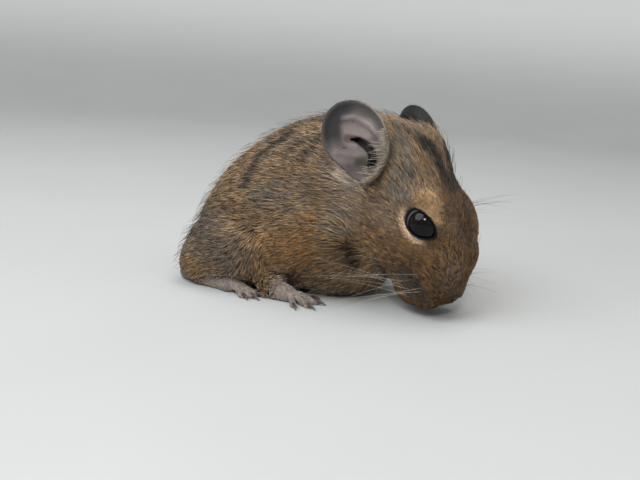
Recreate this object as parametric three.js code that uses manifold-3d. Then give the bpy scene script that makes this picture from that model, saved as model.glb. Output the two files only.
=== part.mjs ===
// A young degu sitting on a floor, life size, as a still museum model.
// Millimetres. +X is the way the animal faces, +Y its left side, +Z up, and the floor is z = 0.
// Every solid follows the outside of the coat, out to the tips of the hair.

import * as THREE from "three";
import { mergeVertices } from "three/addons/utils/BufferGeometryUtils.js";
import Module from "manifold-3d";

const wasm = await Module();
wasm.setup();

// Driving dimensions
const GAP = 0.32; // clearance kept between neighbouring pieces
const BODY_MELT = 8; // how softly the masses of the trunk run into each other
const LIMB_MELT = 4;
const HEAD_SCALE = 0.96; // of a head 44 mm long from nose to nape
const HEAD_AT = [32.6, -6.6, 23.2]; // point between the eyes and the jaw
const HEAD_TURN = { yaw: -17, pitch: -54, roll: -8 }; // bowed, and turned to the animal's right
const EYE = { at: [2.2, 7.9, 1.9], radius: 4.6, hollow: { at: [2.5, 13.4, 3.0], radius: 4.6 } };
const EAR = { height: 21.4, width: 16.6, cup: 4.0, wall: 1.1 };
// Each ear in the head's frame as if it were the left one; the left ear is turned back a little more
const EARS = {
  l: { at: [-22.3, 18.2, -0.4], faces: [-0.01, 0.895, 0.446], up: [-0.91, -0.15, 0.38] },
  r: { at: [-21.2, 18.0, -0.8], faces: [0.25, 0.82, 0.42], up: [-0.89, 0.1, 0.44] },
};
// The ear's outline is an egg: a share of its full size, with angles from its top towards its rear
const EAR_OUTLINE = { share: 0.94, full: { at: 50, by: 0.14 }, slim: { at: 138, by: -0.25 }, spread: 0.25 };
const NOSE = { at: [19.5, 0, -3.0], radii: [2.4, 2.7, 2.1] };
const FOREPAW = { wrist: [-3, 19.2, 3.4], heading: 9, palm: 6.8, digit: 5.6, claw: 2.6 };
const HIND_FOOT = { heel: [-27.5, 17.3, 2.2], heading: 15, sole: 15.5, digit: 5.6, claw: 2.6 };
const CLAW = { root: 0.54, tip: 0.24, lift: 0.3 }; // radii, and the height of its root above the floor
const TAIL = { length: 94.4, root: 3.5, middle: 2.3, brush: 3.6, end: 0.9 }; // length, then radii
const TAIL_PATH = [
  [-30, 1, 6.5], [-37.5, 8, 3.6], [-35, 21, 2.6], [-24, 29.5, 2.2],
  [-8, 32.5, 2.1], [9, 32.5, 2.3], [21, 30, 3.2], [30, 25.5, 1.6],
];

// The hollow in front of each ear, which the ear's cup lines
const EAR_HOLLOW = { ahead: 4.6, radius: 8.4, softness: 1.5 };

// Cuts between the head, the neck and the trunk
const HEAD_CUT = { low: [-13, -40, -16.8], high: [60, 40, 40] }; // in the head's frame
const NECK_CUT = { at: [17.5, 0, 24], lean: -13, bottom: -6 }; // a leaning plane and a level one

// Size of the grid that the body's form is measured on
const BODY_BOX = { low: [-46, -34, -9], high: [56, 34, 57] };
const TRUNK_STEP = 4.3;
const HEAD_STEP = 2.7;

const COLOURS = {
  brown: 0x7c6647,
  pale: 0xcbbfa6,
  grey: 0x8f8a85,
  dark: 0x2b2623,
  claw: 0x3a2620,
  eye: 0x050505,
};
const FAR = 200; // beyond everything

// Forms: each is a function of a point that is negative inside, near a true distance in mm
const ball = (at, radii) => (x, y, z) => {
  const [a, b, c] = [(x - at[0]) / radii[0], (y - at[1]) / radii[1], (z - at[2]) / radii[2]];
  const scaled = Math.hypot(a, b, c);
  const slope = Math.hypot(a / radii[0], b / radii[1], c / radii[2]);
  return (scaled * (scaled - 1)) / Math.max(slope, 1e-9);
};

const taper = (from, to, fromRadius, toRadius) => {
  const along = to.map((v, i) => v - from[i]);
  const square = along.reduce((sum, v) => sum + v * v, 0);
  return (x, y, z) => {
    const [a, b, c] = [x - from[0], y - from[1], z - from[2]];
    const share = Math.min(1, Math.max(0, (a * along[0] + b * along[1] + c * along[2]) / square));
    const gap = Math.hypot(a - share * along[0], b - share * along[1], c - share * along[2]);
    return gap - fromRadius - (toRadius - fromRadius) * share;
  };
};

const melt = (a, b, softness) => {
  const share = Math.max(softness - Math.abs(a - b), 0) / softness;
  return Math.min(a, b) - (share * share * softness) / 4;
};

const carve = (a, b, softness) => -melt(-a, b, softness);

const onBothSides = (form) => (x, y, z) => form(x, Math.abs(y), z);

const together = (first, ...others) => (x, y, z) =>
  others.reduce((sum, [form, softness]) => melt(sum, form(x, y, z), softness), first(x, y, z));

// The head's own frame: x towards the nose, y to the left, z to the crown
const headTurn = new THREE.Matrix4().makeRotationFromEuler(
  new THREE.Euler(
    THREE.MathUtils.degToRad(HEAD_TURN.roll),
    THREE.MathUtils.degToRad(-HEAD_TURN.pitch),
    THREE.MathUtils.degToRad(HEAD_TURN.yaw),
    "ZYX",
  ),
);
const headFrame = new THREE.Matrix4()
  .makeTranslation(...HEAD_AT)
  .multiply(headTurn)
  .multiply(new THREE.Matrix4().makeScale(HEAD_SCALE, HEAD_SCALE, HEAD_SCALE));
const intoHead = headFrame.clone().invert().elements;
const fromHead = (at) => new THREE.Vector3(...at).applyMatrix4(headFrame).toArray();

const inHead = (form) => (x, y, z) => {
  const e = intoHead;
  return (
    HEAD_SCALE *
    form(
      e[0] * x + e[4] * y + e[8] * z + e[12],
      e[1] * x + e[5] * y + e[9] * z + e[13],
      e[2] * x + e[6] * y + e[10] * z + e[14],
    )
  );
};

const wholeHead = inHead(
  together(
    ball([-9, 0, 0.6], [15.5, 11.6, 9.5]), // skull
    [taper([1, 0, -0.4], [13, 0, -2.8], 9.4, 6.6), 6], // muzzle
    [onBothSides(ball([-3, 5.4, -5.5], [13.5, 7.5, 9.5])), 7], // cheeks
    [onBothSides(ball([15.1, 4.1, -6.3], [6.7, 4.8, 6.3])), 3.5], // whisker pads
    [taper([0, 0, -8.5], [13.6, 0, -12.2], 7.0, 4.5), 5], // jaw
    [ball([17.5, 0, -3.3], [3.7, 3.7, 3.7]), 3.5], // end of the muzzle
    [onBothSides(ball([10.8, 3.2, 0], [6.2, 5.1, 6.8])), 3.5], // bridge of the muzzle
    [onBothSides(ball([2.5, 6.9, 5.5], [6.5, 3.4, 3.4])), 4], // brows
  ),
);

const eyeHollow = inHead(onBothSides(ball(EYE.hollow.at, Array(3).fill(EYE.hollow.radius))));
const headForm = (x, y, z) => carve(wholeHead(x, y, z), eyeHollow(x, y, z), 2.5);

const trunkForm = together(
  ball([-15.7, 0, 10.6], [15.6, 19.1, 11.9]), // rump
  [ball([-9.9, 0, 17.8], [18.2, 19.5, 16.5]), BODY_MELT], // loins
  [ball([-1.1, -0.5, 21.5], [18, 18.0, 21.3]), BODY_MELT], // arched back
  [ball([11, -1.5, 23.5], [14.5, 16.0, 19.5]), BODY_MELT], // shoulders
  [ball([8, -1.0, 12.0], [17, 17.0, 12.6]), BODY_MELT], // chest and belly
);

const neckForm = taper([11, -1.5, 29], fromHead([-16.2, 0, -0.5]), 15, 11.4);

const thighForm = onBothSides(
  together(
    ball([-14.5, 15.8, 10.5], [11.4, 7.8, 8.4]),
    [taper([-10, 19.5, 7.2], [-22.4, 16.5, 6.0], 4.2, 7.2), 3], // knee to haunch
  ),
);

const armForm = onBothSides(
  together(
    taper([8, 13.0, 19], [-9, 17.0, 8.5], 8.5, 5.0), // upper arm
    [taper([-9, 17.0, 7.5], [-2.5, 19.3, 4.4], 4.2, 2.7), 3], // forearm
  ),
);

const flesh = together(
  trunkForm,
  [neckForm, 9],
  [headForm, 5],
  [thighForm, LIMB_MELT],
  [armForm, LIMB_MELT],
);

const sides = { l: 1, r: -1 };
const mirrored = (at, side) => [at[0], at[1] * side, at[2]];

const earHollow = (letter) => {
  const { at, faces } = EARS[letter];
  const middle = new THREE.Vector3(...faces).setLength(EAR_HOLLOW.ahead).add(new THREE.Vector3(...at));
  return inHead(ball(mirrored(middle.toArray(), sides[letter]), Array(3).fill(EAR_HOLLOW.radius)));
};
const earHollows = { l: earHollow("l"), r: earHollow("r") };
const bodyForm = (x, y, z) => {
  const nearest = Math.min(earHollows.l(x, y, z), earHollows.r(x, y, z));
  return carve(flesh(x, y, z), nearest, EAR_HOLLOW.softness);
};

// Solids
const solidOf = (geometry) => {
  const bare = geometry.clone();
  bare.deleteAttribute("normal");
  bare.deleteAttribute("uv");
  const merged = mergeVertices(bare, 1e-4);
  return new wasm.Manifold(
    new wasm.Mesh({
      numProp: 3,
      vertProperties: new Float32Array(merged.attributes.position.array),
      triVerts: new Uint32Array(merged.index.array),
    }),
  );
};

const CELL_CORNERS = [0, 1, 2, 3, 4, 5, 6, 7].map((n) => [n & 1, (n >> 1) & 1, n >> 2]);
const CELL_EDGES = [
  [0, 1], [2, 3], [4, 5], [6, 7],
  [0, 2], [1, 3], [4, 6], [5, 7],
  [0, 4], [1, 5], [2, 6], [3, 7],
];

// The surface where a form is zero, with one vertex in each grid cell that it crosses
const surfaceOf = (form, low, high, step) => {
  const counts = low.map((v, i) => Math.ceil((high[i] - v) / step) + 1);
  const place = (i, j, k) => [low[0] + i * step, low[1] + j * step, low[2] + k * step];
  const index = (i, j, k) => (k * counts[1] + j) * counts[0] + i;
  const values = new Float64Array(counts[0] * counts[1] * counts[2]);
  for (let k = 0; k < counts[2]; k++)
    for (let j = 0; j < counts[1]; j++)
      for (let i = 0; i < counts[0]; i++) values[index(i, j, k)] = form(...place(i, j, k));

  const vertices = [];
  const vertexOf = new Map();
  const vertexIn = (i, j, k) => {
    const key = index(i, j, k);
    if (vertexOf.has(key)) return vertexOf.get(key);
    const sum = [0, 0, 0];
    let hits = 0;
    for (const [a, b] of CELL_EDGES) {
      const [p, q] = [CELL_CORNERS[a], CELL_CORNERS[b]];
      const va = values[index(i + p[0], j + p[1], k + p[2])];
      const vb = values[index(i + q[0], j + q[1], k + q[2])];
      if (va < 0 === vb < 0) continue;
      const share = va / (va - vb);
      for (let n = 0; n < 3; n++) sum[n] += p[n] + share * (q[n] - p[n]);
      hits++;
    }
    const corner = place(i, j, k);
    vertexOf.set(key, vertices.length / 3);
    for (let n = 0; n < 3; n++) vertices.push(corner[n] + (step * sum[n]) / hits);
    return vertices.length / 3 - 1;
  };

  const triangles = [];
  const steps = [[1, 0, 0], [0, 1, 0], [0, 0, 1]];
  for (let k = 1; k < counts[2] - 1; k++)
    for (let j = 1; j < counts[1] - 1; j++)
      for (let i = 1; i < counts[0] - 1; i++) {
        const here = values[index(i, j, k)] < 0;
        for (let axis = 0; axis < 3; axis++) {
          const [s, u, v] = [steps[axis], steps[(axis + 1) % 3], steps[(axis + 2) % 3]];
          if (here === values[index(i + s[0], j + s[1], k + s[2])] < 0) continue;
          const around = [
            vertexIn(i - u[0] - v[0], j - u[1] - v[1], k - u[2] - v[2]),
            vertexIn(i - v[0], j - v[1], k - v[2]),
            vertexIn(i, j, k),
            vertexIn(i - u[0], j - u[1], k - u[2]),
          ];
          if (!here) around.reverse();
          const [a, b, c, d] = around;
          triangles.push(a, b, c, a, c, d);
        }
      }

  const geometry = new THREE.BufferGeometry();
  geometry.setAttribute("position", new THREE.Float32BufferAttribute(vertices, 3));
  geometry.setIndex(triangles);
  return solidOf(geometry);
};

const grown = (form, by) => (x, y, z) => form(x, y, z) - by;

const boxSolid = (low, high, frame = new THREE.Matrix4()) => {
  const size = high.map((v, i) => v - low[i]);
  const geometry = new THREE.BoxGeometry(...size);
  geometry.translate(...low.map((v, i) => v + size[i] / 2));
  return solidOf(geometry.applyMatrix4(frame));
};

const ballSolid = (at, radii, frame = new THREE.Matrix4(), around = 20) => {
  const geometry = new THREE.SphereGeometry(1, around, Math.round(around * 0.7));
  geometry.scale(...radii);
  geometry.translate(...at);
  return solidOf(geometry.applyMatrix4(frame));
};

// A round taper with a ball at each end, turned on its own line
const taperSolid = (from, to, fromRadius, toRadius, sides = 8, arcSteps = 2) => {
  const [a, b] = [new THREE.Vector3(...from), new THREE.Vector3(...to)];
  const length = a.distanceTo(b);
  const lean = Math.asin((fromRadius - toRadius) / length);
  const profile = [];
  for (let i = 0; i <= arcSteps; i++) {
    const angle = -Math.PI / 2 + (i / arcSteps) * (Math.PI / 2 + lean);
    profile.push(new THREE.Vector2(fromRadius * Math.cos(angle), fromRadius * Math.sin(angle)));
  }
  for (let i = 0; i <= arcSteps; i++) {
    const angle = lean + (i / arcSteps) * (Math.PI / 2 - lean);
    profile.push(new THREE.Vector2(toRadius * Math.cos(angle), length + toRadius * Math.sin(angle)));
  }
  profile[0].x = 0;
  profile[profile.length - 1].x = 0;
  const geometry = new THREE.LatheGeometry(profile, sides);
  const line = b.clone().sub(a).normalize();
  geometry.applyQuaternion(new THREE.Quaternion().setFromUnitVectors(new THREE.Vector3(0, 1, 0), line));
  geometry.translate(...from);
  return solidOf(geometry);
};

const largest = (solid) =>
  solid.decompose().reduce((big, piece) => (piece.volume() > big.volume() ? piece : big));
const joined = (solids) => solids.reduce((sum, solid) => sum.add(solid));
const aboveFloor = (solid) => solid.intersect(boxSolid([-FAR, -FAR, 0], [FAR, FAR, FAR]));

const model = new THREE.Group();
const addNode = (name, solid, color, roughness = 0.9) => {
  const mesh = largest(solid).getMesh();
  const geometry = new THREE.BufferGeometry();
  geometry.setAttribute("position", new THREE.Float32BufferAttribute(mesh.vertProperties, 3));
  geometry.setIndex([...mesh.triVerts]);
  geometry.computeVertexNormals();
  const node = new THREE.Mesh(geometry, new THREE.MeshStandardMaterial({ color, roughness, metalness: 0 }));
  node.name = name;
  model.add(node);
};

// The body is one form, and thin cuts part it into head, neck, trunk and legs
const coarseBody = surfaceOf(bodyForm, BODY_BOX.low, BODY_BOX.high, TRUNK_STEP);
const fineHead = surfaceOf(bodyForm, BODY_BOX.low, BODY_BOX.high, HEAD_STEP);
const clearOfBody = surfaceOf(grown(bodyForm, 1.5 * GAP), BODY_BOX.low, BODY_BOX.high, TRUNK_STEP);

const headCutter = boxSolid(HEAD_CUT.low, HEAD_CUT.high, headFrame);
const headClearance = boxSolid(
  HEAD_CUT.low.map((v) => v - GAP),
  HEAD_CUT.high.map((v) => v + GAP),
  headFrame,
);
const bowedNeck = new THREE.Matrix4()
  .makeRotationY(THREE.MathUtils.degToRad(NECK_CUT.lean))
  .setPosition(...NECK_CUT.at);
const neckCutter = boxSolid([0, -FAR, NECK_CUT.bottom], [FAR, FAR, FAR], bowedNeck);
const neckClearance = boxSolid([-GAP, -FAR, NECK_CUT.bottom - GAP], [FAR, FAR, FAR], bowedNeck);

const legCutters = (side) => {
  const arm = (more) =>
    joined([
      taperSolid(mirrored([8, 15.5, 19], side), mirrored([-9, 18, 8], side), 8.2 + more, 5.6 + more, 9),
      taperSolid(mirrored([-9, 18, 7], side), mirrored([-1.5, 19.6, 3.6], side), 5 + more, 4.4 + more, 9),
    ]);
  const thigh = (more) =>
    ballSolid(mirrored([-18, 18.5, 11], side), [15.5 + more, 10 + more, 12.5 + more], undefined, 12);
  return { arm, thigh };
};

let trunk = coarseBody.subtract(headClearance);
const limbs = {};
for (const [letter, side] of Object.entries(sides)) {
  const { arm, thigh } = legCutters(side);
  const armSolid = trunk.intersect(arm(0));
  const withoutArm = trunk.subtract(arm(GAP));
  limbs[letter] = { arm: armSolid, thigh: withoutArm.intersect(thigh(0)) };
  trunk = withoutArm.subtract(thigh(GAP));
}
const neck = trunk.intersect(neckCutter);
trunk = trunk.subtract(neckClearance);

// Head with its eyes and nose
const eyeSolid = (side, more) =>
  ballSolid(mirrored(EYE.at, side), [EYE.radius + more, EYE.radius + more, EYE.radius + more], headFrame, 12);
const noseSolid = (more) =>
  ballSolid(
    NOSE.at,
    NOSE.radii.map((r) => r + more),
    headFrame,
    9,
  );
const head = fineHead
  .intersect(headCutter)
  .subtract(eyeSolid(1, GAP))
  .subtract(eyeSolid(-1, GAP))
  .subtract(noseSolid(GAP));

// Ears: egg-shaped cups of skin, open to the side and a little forwards
const earOutline = (angle) => {
  const near = ({ at, by }) =>
    by * Math.exp((Math.cos(angle - THREE.MathUtils.degToRad(at)) - 1) / EAR_OUTLINE.spread);
  return EAR_OUTLINE.share + near(EAR_OUTLINE.full) + near(EAR_OUTLINE.slim);
};

const earSolid = (letter) => {
  const side = sides[letter];
  const ear = EARS[letter];
  const faces = new THREE.Vector3(...mirrored(ear.faces, side)).normalize();
  const up = new THREE.Vector3(...mirrored(ear.up, side)).projectOnPlane(faces).normalize();
  const rearward = up.clone().cross(faces).multiplyScalar(side);
  const sectors = 16;
  const rings = 4;
  const points = [];
  const surfacePoint = (share, angle, behind) => {
    const reach = (share * earOutline(angle)) / 2;
    const across = EAR.width * reach * Math.sin(angle);
    const rise = EAR.height * reach * Math.cos(angle);
    const depth = -EAR.cup * (1 - share ** 2.4) - behind * EAR.wall;
    const at = new THREE.Vector3(...mirrored(ear.at, side));
    at.addScaledVector(rearward, across).addScaledVector(up, rise).addScaledVector(faces, depth);
    return at.applyMatrix4(headFrame);
  };
  for (const behind of [0, 1]) {
    points.push(surfacePoint(0, 0, behind));
    for (let ring = 1; ring <= rings; ring++)
      for (let sector = 0; sector < sectors; sector++)
        points.push(surfacePoint(ring / rings, (sector / sectors) * 2 * Math.PI, behind));
  }
  const layer = 1 + rings * sectors;
  const at = (behind, ring, sector) =>
    behind * layer + (ring === 0 ? 0 : 1 + (ring - 1) * sectors + (sector % sectors));
  const triangles = [];
  const face = (behind, a, b, c) => triangles.push(...(behind ? [a, c, b] : [a, b, c]));
  for (const behind of [0, 1])
    for (let sector = 0; sector < sectors; sector++) {
      face(behind, at(behind, 0, 0), at(behind, 1, sector), at(behind, 1, sector + 1));
      for (let ring = 1; ring < rings; ring++) {
        const [a, b] = [at(behind, ring, sector), at(behind, ring, sector + 1)];
        const [c, d] = [at(behind, ring + 1, sector), at(behind, ring + 1, sector + 1)];
        face(behind, a, c, d);
        face(behind, a, d, b);
      }
    }
  for (let sector = 0; sector < sectors; sector++) {
    const [a, b] = [at(0, rings, sector), at(0, rings, sector + 1)];
    const [c, d] = [at(1, rings, sector), at(1, rings, sector + 1)];
    triangles.push(a, c, d, a, d, b);
  }
  const geometry = new THREE.BufferGeometry().setFromPoints(points);
  geometry.setIndex(side > 0 ? triangles.reverse() : triangles);
  const solid = solidOf(geometry).subtract(clearOfBody);
  return largest(solid);
};

// Feet: a sole, digits that fan out from it, and a claw before each digit
const footParts = (side, foot, shape) => {
  const start = new THREE.Vector3(...mirrored(shape.start, side));
  const place = (forward, turn, along, height) => {
    const base = THREE.MathUtils.degToRad(foot.heading);
    const fan = THREE.MathUtils.degToRad(foot.heading + turn);
    return [
      start.x + forward * Math.cos(base) + along * Math.cos(fan),
      start.y + side * (forward * Math.sin(base) + along * Math.sin(fan)),
      height,
    ];
  };
  const pieces = shape.soles.map(([from, to, fromRadius, toRadius, height, toHeight]) =>
    taperSolid(place(from, 0, 0, height), place(to, 0, 0, toHeight), fromRadius, toRadius, 8),
  );
  const claws = [];
  for (const { turn, root, reach, thick } of shape.digits) {
    const tip = place(root, turn, reach, thick * 0.85);
    pieces.push(taperSolid(place(root, turn, 0, shape.knuckle), tip, thick * 1.15, thick, 6, 1));
    const clawRoot = place(root, turn, reach + thick + GAP + CLAW.root, CLAW.root + CLAW.lift);
    const clawTip = place(root, turn, reach + thick + foot.claw, CLAW.tip);
    claws.push(taperSolid(clawRoot, clawTip, CLAW.root, CLAW.tip, 5, 1));
  }
  return { foot: joined(pieces), claws };
};

const forepawShape = {
  start: FOREPAW.wrist,
  knuckle: 2.1,
  soles: [
    [0, 4.2, 2.5, 2.3, 3.3, 2.2],
    [3, FOREPAW.palm, 2.3, 2.3, 2.1, 1.9],
  ],
  digits: [-46, -17, 14, 44].map((turn, n) => ({
    turn,
    root: FOREPAW.palm - 0.8,
    reach: FOREPAW.digit + [-0.6, 0.8, 0.8, -0.6][n],
    thick: 0.74,
  })),
};

const hindFootShape = {
  start: HIND_FOOT.heel,
  knuckle: 2.1,
  soles: [
    [0, HIND_FOOT.sole * 0.6, 2.3, 2.2, 2.2, 2.0],
    [HIND_FOOT.sole * 0.55, HIND_FOOT.sole, 2.2, 2.6, 1.9, 1.9],
  ],
  digits: [-30, -12, 4, 20].map((turn, n) => ({
    turn,
    root: HIND_FOOT.sole + 0.6,
    reach: HIND_FOOT.digit + [-1.1, 0.5, 0.7, -0.7][n],
    thick: 0.86,
  })).concat([{ turn: -62, root: HIND_FOOT.sole - 3.5, reach: 4.6, thick: 0.74 }]),
};

// Tail: laid on the floor round the animal's left side
const tailCurve = new THREE.CatmullRomCurve3(
  TAIL_PATH.map((at) => new THREE.Vector3(...at)),
  false,
  "centripetal",
);

const tailRadius = (share) => {
  const toMiddle = THREE.MathUtils.smoothstep(share, 0, 0.5);
  const toBrush = THREE.MathUtils.smoothstep(share, 0.6, 0.86);
  const toEnd = THREE.MathUtils.smoothstep(share, 0.86, 1.0);
  const slender = THREE.MathUtils.lerp(TAIL.root, TAIL.middle, toMiddle);
  return THREE.MathUtils.lerp(THREE.MathUtils.lerp(slender, TAIL.brush, toBrush), TAIL.end, toEnd);
};

const tailSolid = (from, to, steps) => {
  const around = 8;
  const profile = [new THREE.Vector2(0, 0)];
  for (let i = 0; i <= steps; i++) profile.push(new THREE.Vector2(1, i / steps));
  profile.push(new THREE.Vector2(0, 1));
  const geometry = new THREE.LatheGeometry(profile, around);
  const position = geometry.attributes.position;
  const upward = new THREE.Vector3(0, 0, 1);
  for (let i = 0; i < position.count; i++) {
    const share = THREE.MathUtils.lerp(from, to, position.getY(i));
    const radius = tailRadius(share);
    const centre = tailCurve.getPointAt(share);
    const along = tailCurve.getTangentAt(share);
    const across = along.clone().cross(upward).normalize();
    const over = across.clone().cross(along).normalize();
    centre.addScaledVector(across, radius * position.getX(i));
    centre.addScaledVector(over, radius * position.getZ(i));
    position.setXYZ(i, centre.x, centre.y, centre.z);
  }
  return solidOf(geometry);
};

const TAIL_LENGTHS = [
  { name: "tail_base", from: 0, to: 0.3, steps: 8, color: COLOURS.brown },
  { name: "tail_middle", from: 0.3, to: 0.66, steps: 8, color: COLOURS.brown },
  { name: "tail_brush", from: 0.66, to: 1, steps: 9, color: COLOURS.dark },
];

// Every piece into the scene graph, named for what it is
addNode("trunk", aboveFloor(trunk), COLOURS.brown);
addNode("neck", aboveFloor(neck), COLOURS.brown);
addNode("head", aboveFloor(head), COLOURS.brown);
addNode("nose", noseSolid(0).intersect(fineHead), COLOURS.dark, 0.5);

for (const [letter, side] of Object.entries(sides)) {
  const paw = footParts(side, FOREPAW, forepawShape);
  const hindFoot = footParts(side, HIND_FOOT, hindFootShape);
  const outsideBody = (solid) => aboveFloor(solid.subtract(clearOfBody));
  addNode(`eye_${letter}`, eyeSolid(side, 0), COLOURS.eye, 0.05);
  addNode(`ear_${letter}`, earSolid(letter), COLOURS.grey);
  addNode(`foreleg_${letter}`, aboveFloor(limbs[letter].arm), COLOURS.brown);
  addNode(`hindleg_${letter}`, aboveFloor(limbs[letter].thigh), COLOURS.brown);
  addNode(`forepaw_${letter}`, outsideBody(paw.foot), COLOURS.pale);
  addNode(`hindfoot_${letter}`, outsideBody(hindFoot.foot), COLOURS.pale);
  const addClaw = (name) => (claw, n) =>
    addNode(`${name}_${letter}_${n + 1}`, outsideBody(claw), COLOURS.claw, 0.4);
  paw.claws.forEach(addClaw("foreclaw"));
  hindFoot.claws.forEach(addClaw("hindclaw"));
}

TAIL_LENGTHS.forEach(({ name, from, to, steps, color }) => {
  const gap = GAP / 2 / TAIL.length;
  const solid = tailSolid(from > 0 ? from + gap : from, to < 1 ? to - gap : to, steps);
  addNode(name, aboveFloor(from > 0 ? solid : solid.subtract(clearOfBody)), color);
});

// The origin is under the middle of the whole animal, on the floor
const whole = new THREE.Box3().setFromObject(model);
const middle = whole.getCenter(new THREE.Vector3());
model.position.set(-middle.x, -middle.y, 0);

export default model;
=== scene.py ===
"""A young degu, life size, in its coat, crouching with its head bowed and turned to its right."""

import math

import bpy
import numpy as np
from mathutils import Matrix, Vector
from mathutils.kdtree import KDTree


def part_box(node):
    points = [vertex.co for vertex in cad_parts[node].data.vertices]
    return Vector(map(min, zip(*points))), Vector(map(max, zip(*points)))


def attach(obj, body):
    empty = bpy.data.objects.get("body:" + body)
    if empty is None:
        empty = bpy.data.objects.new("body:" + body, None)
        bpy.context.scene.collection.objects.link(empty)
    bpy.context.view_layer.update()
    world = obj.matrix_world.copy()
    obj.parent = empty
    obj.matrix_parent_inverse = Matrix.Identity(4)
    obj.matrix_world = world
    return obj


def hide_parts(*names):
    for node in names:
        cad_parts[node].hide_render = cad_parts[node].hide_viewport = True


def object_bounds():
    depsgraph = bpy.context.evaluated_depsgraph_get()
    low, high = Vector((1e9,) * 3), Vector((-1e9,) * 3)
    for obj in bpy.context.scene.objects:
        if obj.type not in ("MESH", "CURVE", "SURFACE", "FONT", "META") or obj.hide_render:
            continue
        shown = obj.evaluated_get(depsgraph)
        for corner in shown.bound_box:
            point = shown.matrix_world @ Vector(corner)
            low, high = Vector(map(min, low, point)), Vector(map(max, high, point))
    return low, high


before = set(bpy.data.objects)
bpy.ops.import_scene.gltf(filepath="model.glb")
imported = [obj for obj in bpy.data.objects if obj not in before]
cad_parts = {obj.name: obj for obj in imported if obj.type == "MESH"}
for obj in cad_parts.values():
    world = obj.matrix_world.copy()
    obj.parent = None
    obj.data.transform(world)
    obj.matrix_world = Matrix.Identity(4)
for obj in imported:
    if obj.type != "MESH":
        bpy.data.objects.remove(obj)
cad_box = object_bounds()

# Sizes are in millimetres. +x is the way the trunk faces, +y its left, +z up, and the floor is z = 0.
MM = 0.001
luck = np.random.default_rng(1651)

# Body, as in the frame
BODY_MELT = 8  # how softly the trunk's forms run together
LIMB_MELT = 4
HEAD_SCALE = 0.96
HEAD_AT = np.array([32.6, -6.6, 23.2])
HEAD_TURN = (-17, -54, -8)  # yaw, pitch and roll in degrees
EYE_AT = np.array([2.2, 7.9, 1.9])
EYE_RADIUS = 4.6
EYE_HOLLOW_AT = (2.5, 13.4, 3.0)
NOSE_AT = np.array([19.5, 0, -3.0])
NOSE_RADII = (2.4, 2.7, 2.1)
EAR_HEIGHT = 21.4
EAR_WIDTH = 16.6
EAR_CUP = 4.0
EAR_CURVE = 2.4  # how late the cup rises towards its rim
EAR_REACH = 9.6  # from its middle to its rim, on average
# Each ear's place, facing and rise in the head's frame, as if it were the left one
LEFT_EAR = ((-22.3, 18.2, -0.4), (-0.01, 0.895, 0.446), (-0.91, -0.15, 0.38))
RIGHT_EAR = ((-21.2, 18.0, -0.8), (0.25, 0.82, 0.42), (-0.89, 0.1, 0.44))
EAR_HOLLOW_AHEAD = 4.6
EAR_HOLLOW_RADIUS = 8.4
TAIL_PATH = [
    (-30, 1, 6.5), (-37.5, 8, 3.6), (-35, 21, 2.6), (-24, 29.5, 2.2),
    (-8, 32.5, 2.1), (9, 32.5, 2.3), (21, 30, 3.2), (30, 25.5, 1.6),
]
CLAW_LENGTH = 2.6
CLAW_RADII = (0.56, 0.04)  # at its root and at its tip

# Coat and skin
TRUNK_COAT = 2.4  # depth of the coat, from its tips down to the skin
HEAD_COAT = (1.7, 0.6)  # at the nape and at the muzzle
LEG_COAT = 1.2
FOOT_COAT = 0.25
EYELID_COAT = 0.4
NOSE_COAT = 0.3
EAR_WALL = 0.8
# Places in the head's frame where the skin lies deeper or shallower, with their widths and by how much
DEEPER = [((-25, 1.5, 7.5), 3.5, 2.4), ((12.3, 4.3, 6.2), 3.0, -0.45)]
SKIN_STEP = 0.36  # size of the grid that the skin is measured on
COAT_STEP = 0.7  # size of the grid that the coat lies on
# The room that the grids fill
FIELD_LOW = np.array([-47.0, -33.0, -3.0])
FIELD_HIGH = np.array([55.0, 41.0, 57.0])
FAR = 50.0  # stands for a distance that isn't worked out


def unit(v):
    v = np.asarray(v, float)
    return v / np.linalg.norm(v)


def dot(a, b):
    return np.einsum("...i,...i->...", a, b)


def length_of(v):
    return np.sqrt(dot(v, v))


def from_line(p, start, line):
    """How far along a straight line each point is, as a share of it, and its distance from the line."""
    share = np.clip((p - start) @ line / (line @ line), 0, 1)
    return share, length_of(p - start - share[:, None] * line)


def smooth(low, high, x):
    """0 at low and beyond it, 1 at high and beyond it, and smooth between them."""
    share = np.clip((x - low) / (high - low), 0, 1)
    return share * share * (3 - 2 * share)


def mix(a, b, share):
    return a + (b - a) * share


def tint(tone, colour, share):
    """Rows of colours mixed with another, by a share for each row."""
    return mix(tone, colour, share[:, None])


# Forms: each takes points and gives a number that is negative inside, near a true distance in mm
def ball(at, radii):
    at, radii = np.array(at, np.float32), np.array(radii, np.float32)

    def form(p):
        q = (p - at) / radii
        scaled = length_of(q)
        return scaled * (scaled - 1) / np.maximum(length_of(q / radii), 1e-6)

    return form


def taper(start, end, start_radius, end_radius):
    start, end = np.array(start, np.float32), np.array(end, np.float32)
    line = end - start

    def form(p):
        share, gap = from_line(p, start, line)
        return gap - start_radius - (end_radius - start_radius) * share

    return form


def melt(a, b, softness):
    share = np.maximum(softness - np.abs(a - b), 0) / softness
    return np.minimum(a, b) - share * share * softness / 4


def carve(a, b, softness):
    return -melt(-a, b, softness)


def together(first, *others):
    def form(p):
        d = first(p)
        for other, softness in others:
            d = melt(d, other(p), softness)
        return d

    return form


def both_sides(p):
    """The points moved to the left side, which is the right side's mirror image."""
    return np.column_stack([p[:, 0], np.abs(p[:, 1]), p[:, 2]])


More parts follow.
